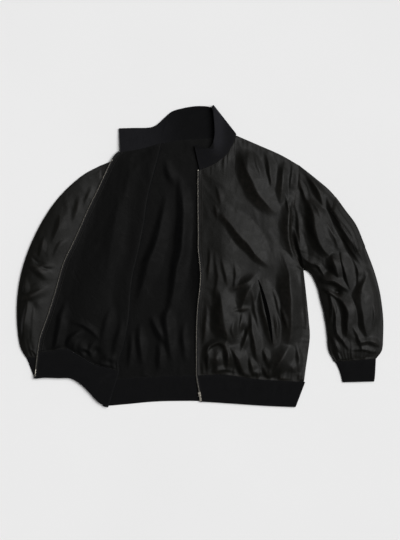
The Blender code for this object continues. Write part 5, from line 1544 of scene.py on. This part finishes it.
def make_studio():
    """Floor, two soft lamps, a pale sky and the camera straight above the jacket."""
    scene = bpy.context.scene
    bare()
    bpy.ops.mesh.primitive_plane_add(size=14.0, location=(0, 0, 0))
    floor = bpy.context.active_object
    floor.name = "studio_floor"
    floor.data.materials.append(floor_finish())
    for name, direction, spread, power in LAMPS:
        lamp = bpy.data.lights.new(name, "SUN")
        lamp.energy, lamp.angle = power, math.radians(spread)
        holder = bpy.data.objects.new(name, lamp)
        holder.rotation_euler = Vector(direction).to_track_quat("Z", "Y").to_euler()
        scene.collection.objects.link(holder)
    world = bpy.data.worlds.new("studio")
    world.use_nodes = True
    sky = world.node_tree.nodes["Background"].inputs
    sky["Color"].default_value, sky["Strength"].default_value = (1.0, 1.0, 1.0, 1.0), SKY_POWER
    scene.world = world
    scene.view_settings.view_transform = "Standard"
    lens = bpy.data.cameras.new("camera")
    lens.lens, lens.sensor_width = 85.0, 36.0
    camera = bpy.data.objects.new("camera", lens)
    camera.location = CAMERA_PLACE
    scene.collection.objects.link(camera)
    scene.camera = camera


# ---------------------------------------------------------------- the whole


def make_sleeves():
    """Both sleeves; their grids and walls are kept for what is sewn on them."""
    left = sleeve_grid(SLEEVE_LEFT, 1, ARM_RISE_LEFT, CREASES_SLEEVE_LEFT, PUFFS_SLEEVE_LEFT, 61.0,
                       round_edge=ROUND_EDGE_LEFT)
    dressed(cloth("left_sleeve", *left, SHELL_WALL, True), "sleeve_left", "shell")
    right = sleeve_grid(SLEEVE_RIGHT, -1, ARM_RISE_RIGHT, CREASES_SLEEVE_RIGHT, PUFFS_SLEEVE_RIGHT, 83.0,
                        pressed)
    return left, right, dressed(cloth("right_sleeve", *right, SHELL_WALL, True), "sleeve_right", "shell")


def make_open_front(below):
    """The right front folded open, and its lining on the side that shows."""
    grid, across = open_front_grid(below)
    dressed(cloth("right_front", grid, across, SHELL_WALL), "front_right", "shell")
    lining = (grid + across * LINING_LIFT)[:, UNDER_CELLS - LINING_TUCK:]
    dressed(cloth("right_front_lining", lining, across[:, UNDER_CELLS - LINING_TUCK:], LINING_WALL),
            "front_right_lining", "lining")
    return grid


def make_pockets(left_front, sleeve):
    """The welt of the hand pocket with the dark sheet of painted shade in its mouth, and the patch on the
    left sleeve.
    """
    welt_grid, welt, mouth = make_welt(left_front)
    # the sheet in the slit takes the darker pocket cloth as painted shade
    dressed(mouth, None, "lining", "bag_painted_shade")
    dressed(welt, "pocket_welt_left", "shell")
    patch_grid, patch = make_sleeve_pocket(*sleeve)
    dressed(patch, "sleeve_pocket", "shell")
    return welt_grid, patch_grid


def make_tapes(band, front, opened):
    """Both zip tapes, from the foot of the waistband up; gives the beads that carry the teeth."""
    left_edge = np.concatenate((band[:-1, 0], front[:, 0]))
    right_edge = np.concatenate((band[:-1, -1], opened[:, -1] + UP * SHELL_WALL))
    (left, left_tape), (right, right_tape) = (make_tape("left_zip_tape", left_edge),
                                              make_tape("right_zip_tape", right_edge))
    dressed(left_tape, "zip_tape_left", "tape")
    dressed(right_tape, "zip_tape_right", "tape")
    return {"left": left, "right": right}


def make_teeth(beads, tooth):
    """A row of teeth on each tape."""
    for side, start, end in TEETH:
        places, alongs = along_line(beads[side], TOOTH_PITCH, start, end)
        alongs = level_axis(alongs)
        teeth = repeated(side + "_zip_teeth", tooth, places, alongs, np.broadcast_to(UP, alongs.shape))
        dressed(teeth, None, "brass")


def make_stitches(stitch, front, opened, pocket_grids, sleeves):
    """Topstitching of the fronts, the pockets and the sleeves near their cuffs."""
    dressed(stitched(offset_lines(front, UP, SHELL_WALL, FRONT_ROWS), stitch, "left_front_stitches"),
            None, "shell", "thread")
    lining = opened[:, -OPEN_CELLS:] + UP * LINING_LIFT
    dressed(stitched(offset_lines(lining, UP, LINING_WALL, LINING_ROWS), stitch, "right_front_stitches"),
            None, "lining", "thread")
    welt, patch = pocket_grids
    lines = offset_lines(welt, UP, WELT_WALL, WELT_ROWS) + offset_lines(patch, UP, PATCH_WALL, PATCH_ROWS)
    dressed(stitched(lines, stitch, "pocket_stitches"), None, "shell", "thread")
    top = slice(4, ARM_CELLS - 3)
    for side, (grid, walls) in zip(("left", "right"), sleeves):
        lines = offset_lines(grid[:, top], walls[:, top], SHELL_WALL, SLEEVE_ROWS)
        dressed(stitched(lines, stitch, side + "_sleeve_stitches"), None, "shell", "thread")


def make_zip_ends(beads):
    """Box, pin and stops of the zip; a place below nought is measured from the tape's top."""
    for name, side, size, at in ZIP_BLOCKS:
        line = beads[side] if at > 0 else beads[side][::-1]
        places, alongs = along_line(line, abs(at), abs(at))
        block = small_block(name, size, places[0] + UP * BLOCK_RISE, level_axis(alongs[:1])[0])
        dressed(block, None, "brass")
    for node in ("zip_slider", "zip_pull"):
        for place in bpy.data.objects[node].material_slots:
            place.material = FINISHES["brass"]


def main():
    """The whole jacket, from the surface up, then what is sewn on it, and the studio."""
    make_finishes()
    back = dressed(make_back(), "back_panel", "shell")
    back_lining = dressed(make_back_lining(), "back_lining", "lining")
    left_sleeve, right_sleeve, right_arm = make_sleeves()
    dressed(make_cuff("left_cuff_rib", CUFF_LEFT, 71.0), "cuff_left", "rib")
    right_cuff = dressed(make_cuff("right_cuff_rib", CUFF_RIGHT, 73.0), "cuff_right", "rib")
    front, left_front = make_front_left(tree_of(back, back_lining))
    dressed(left_front, "front_left", "shell")
    below = tree_of(back, back_lining, right_arm, right_cuff)
    opened = make_open_front(below)
    band, waistband = make_waistband(below)
    dressed(waistband, "hem_band", "rib")
    dressed(make_collar(), "collar", "rib")
    pocket_grids = make_pockets(left_front, left_sleeve)
    beads = make_tapes(band, front, opened)
    tooth = tooth_model()
    make_teeth(beads, tooth)
    stitch = stitch_model()
    make_stitches(stitch, front, opened, pocket_grids, (left_sleeve, right_sleeve))
    make_zip_ends(beads)
    for model in (tooth, stitch):
        bpy.data.objects.remove(model, do_unlink=True)
    make_studio()


main()
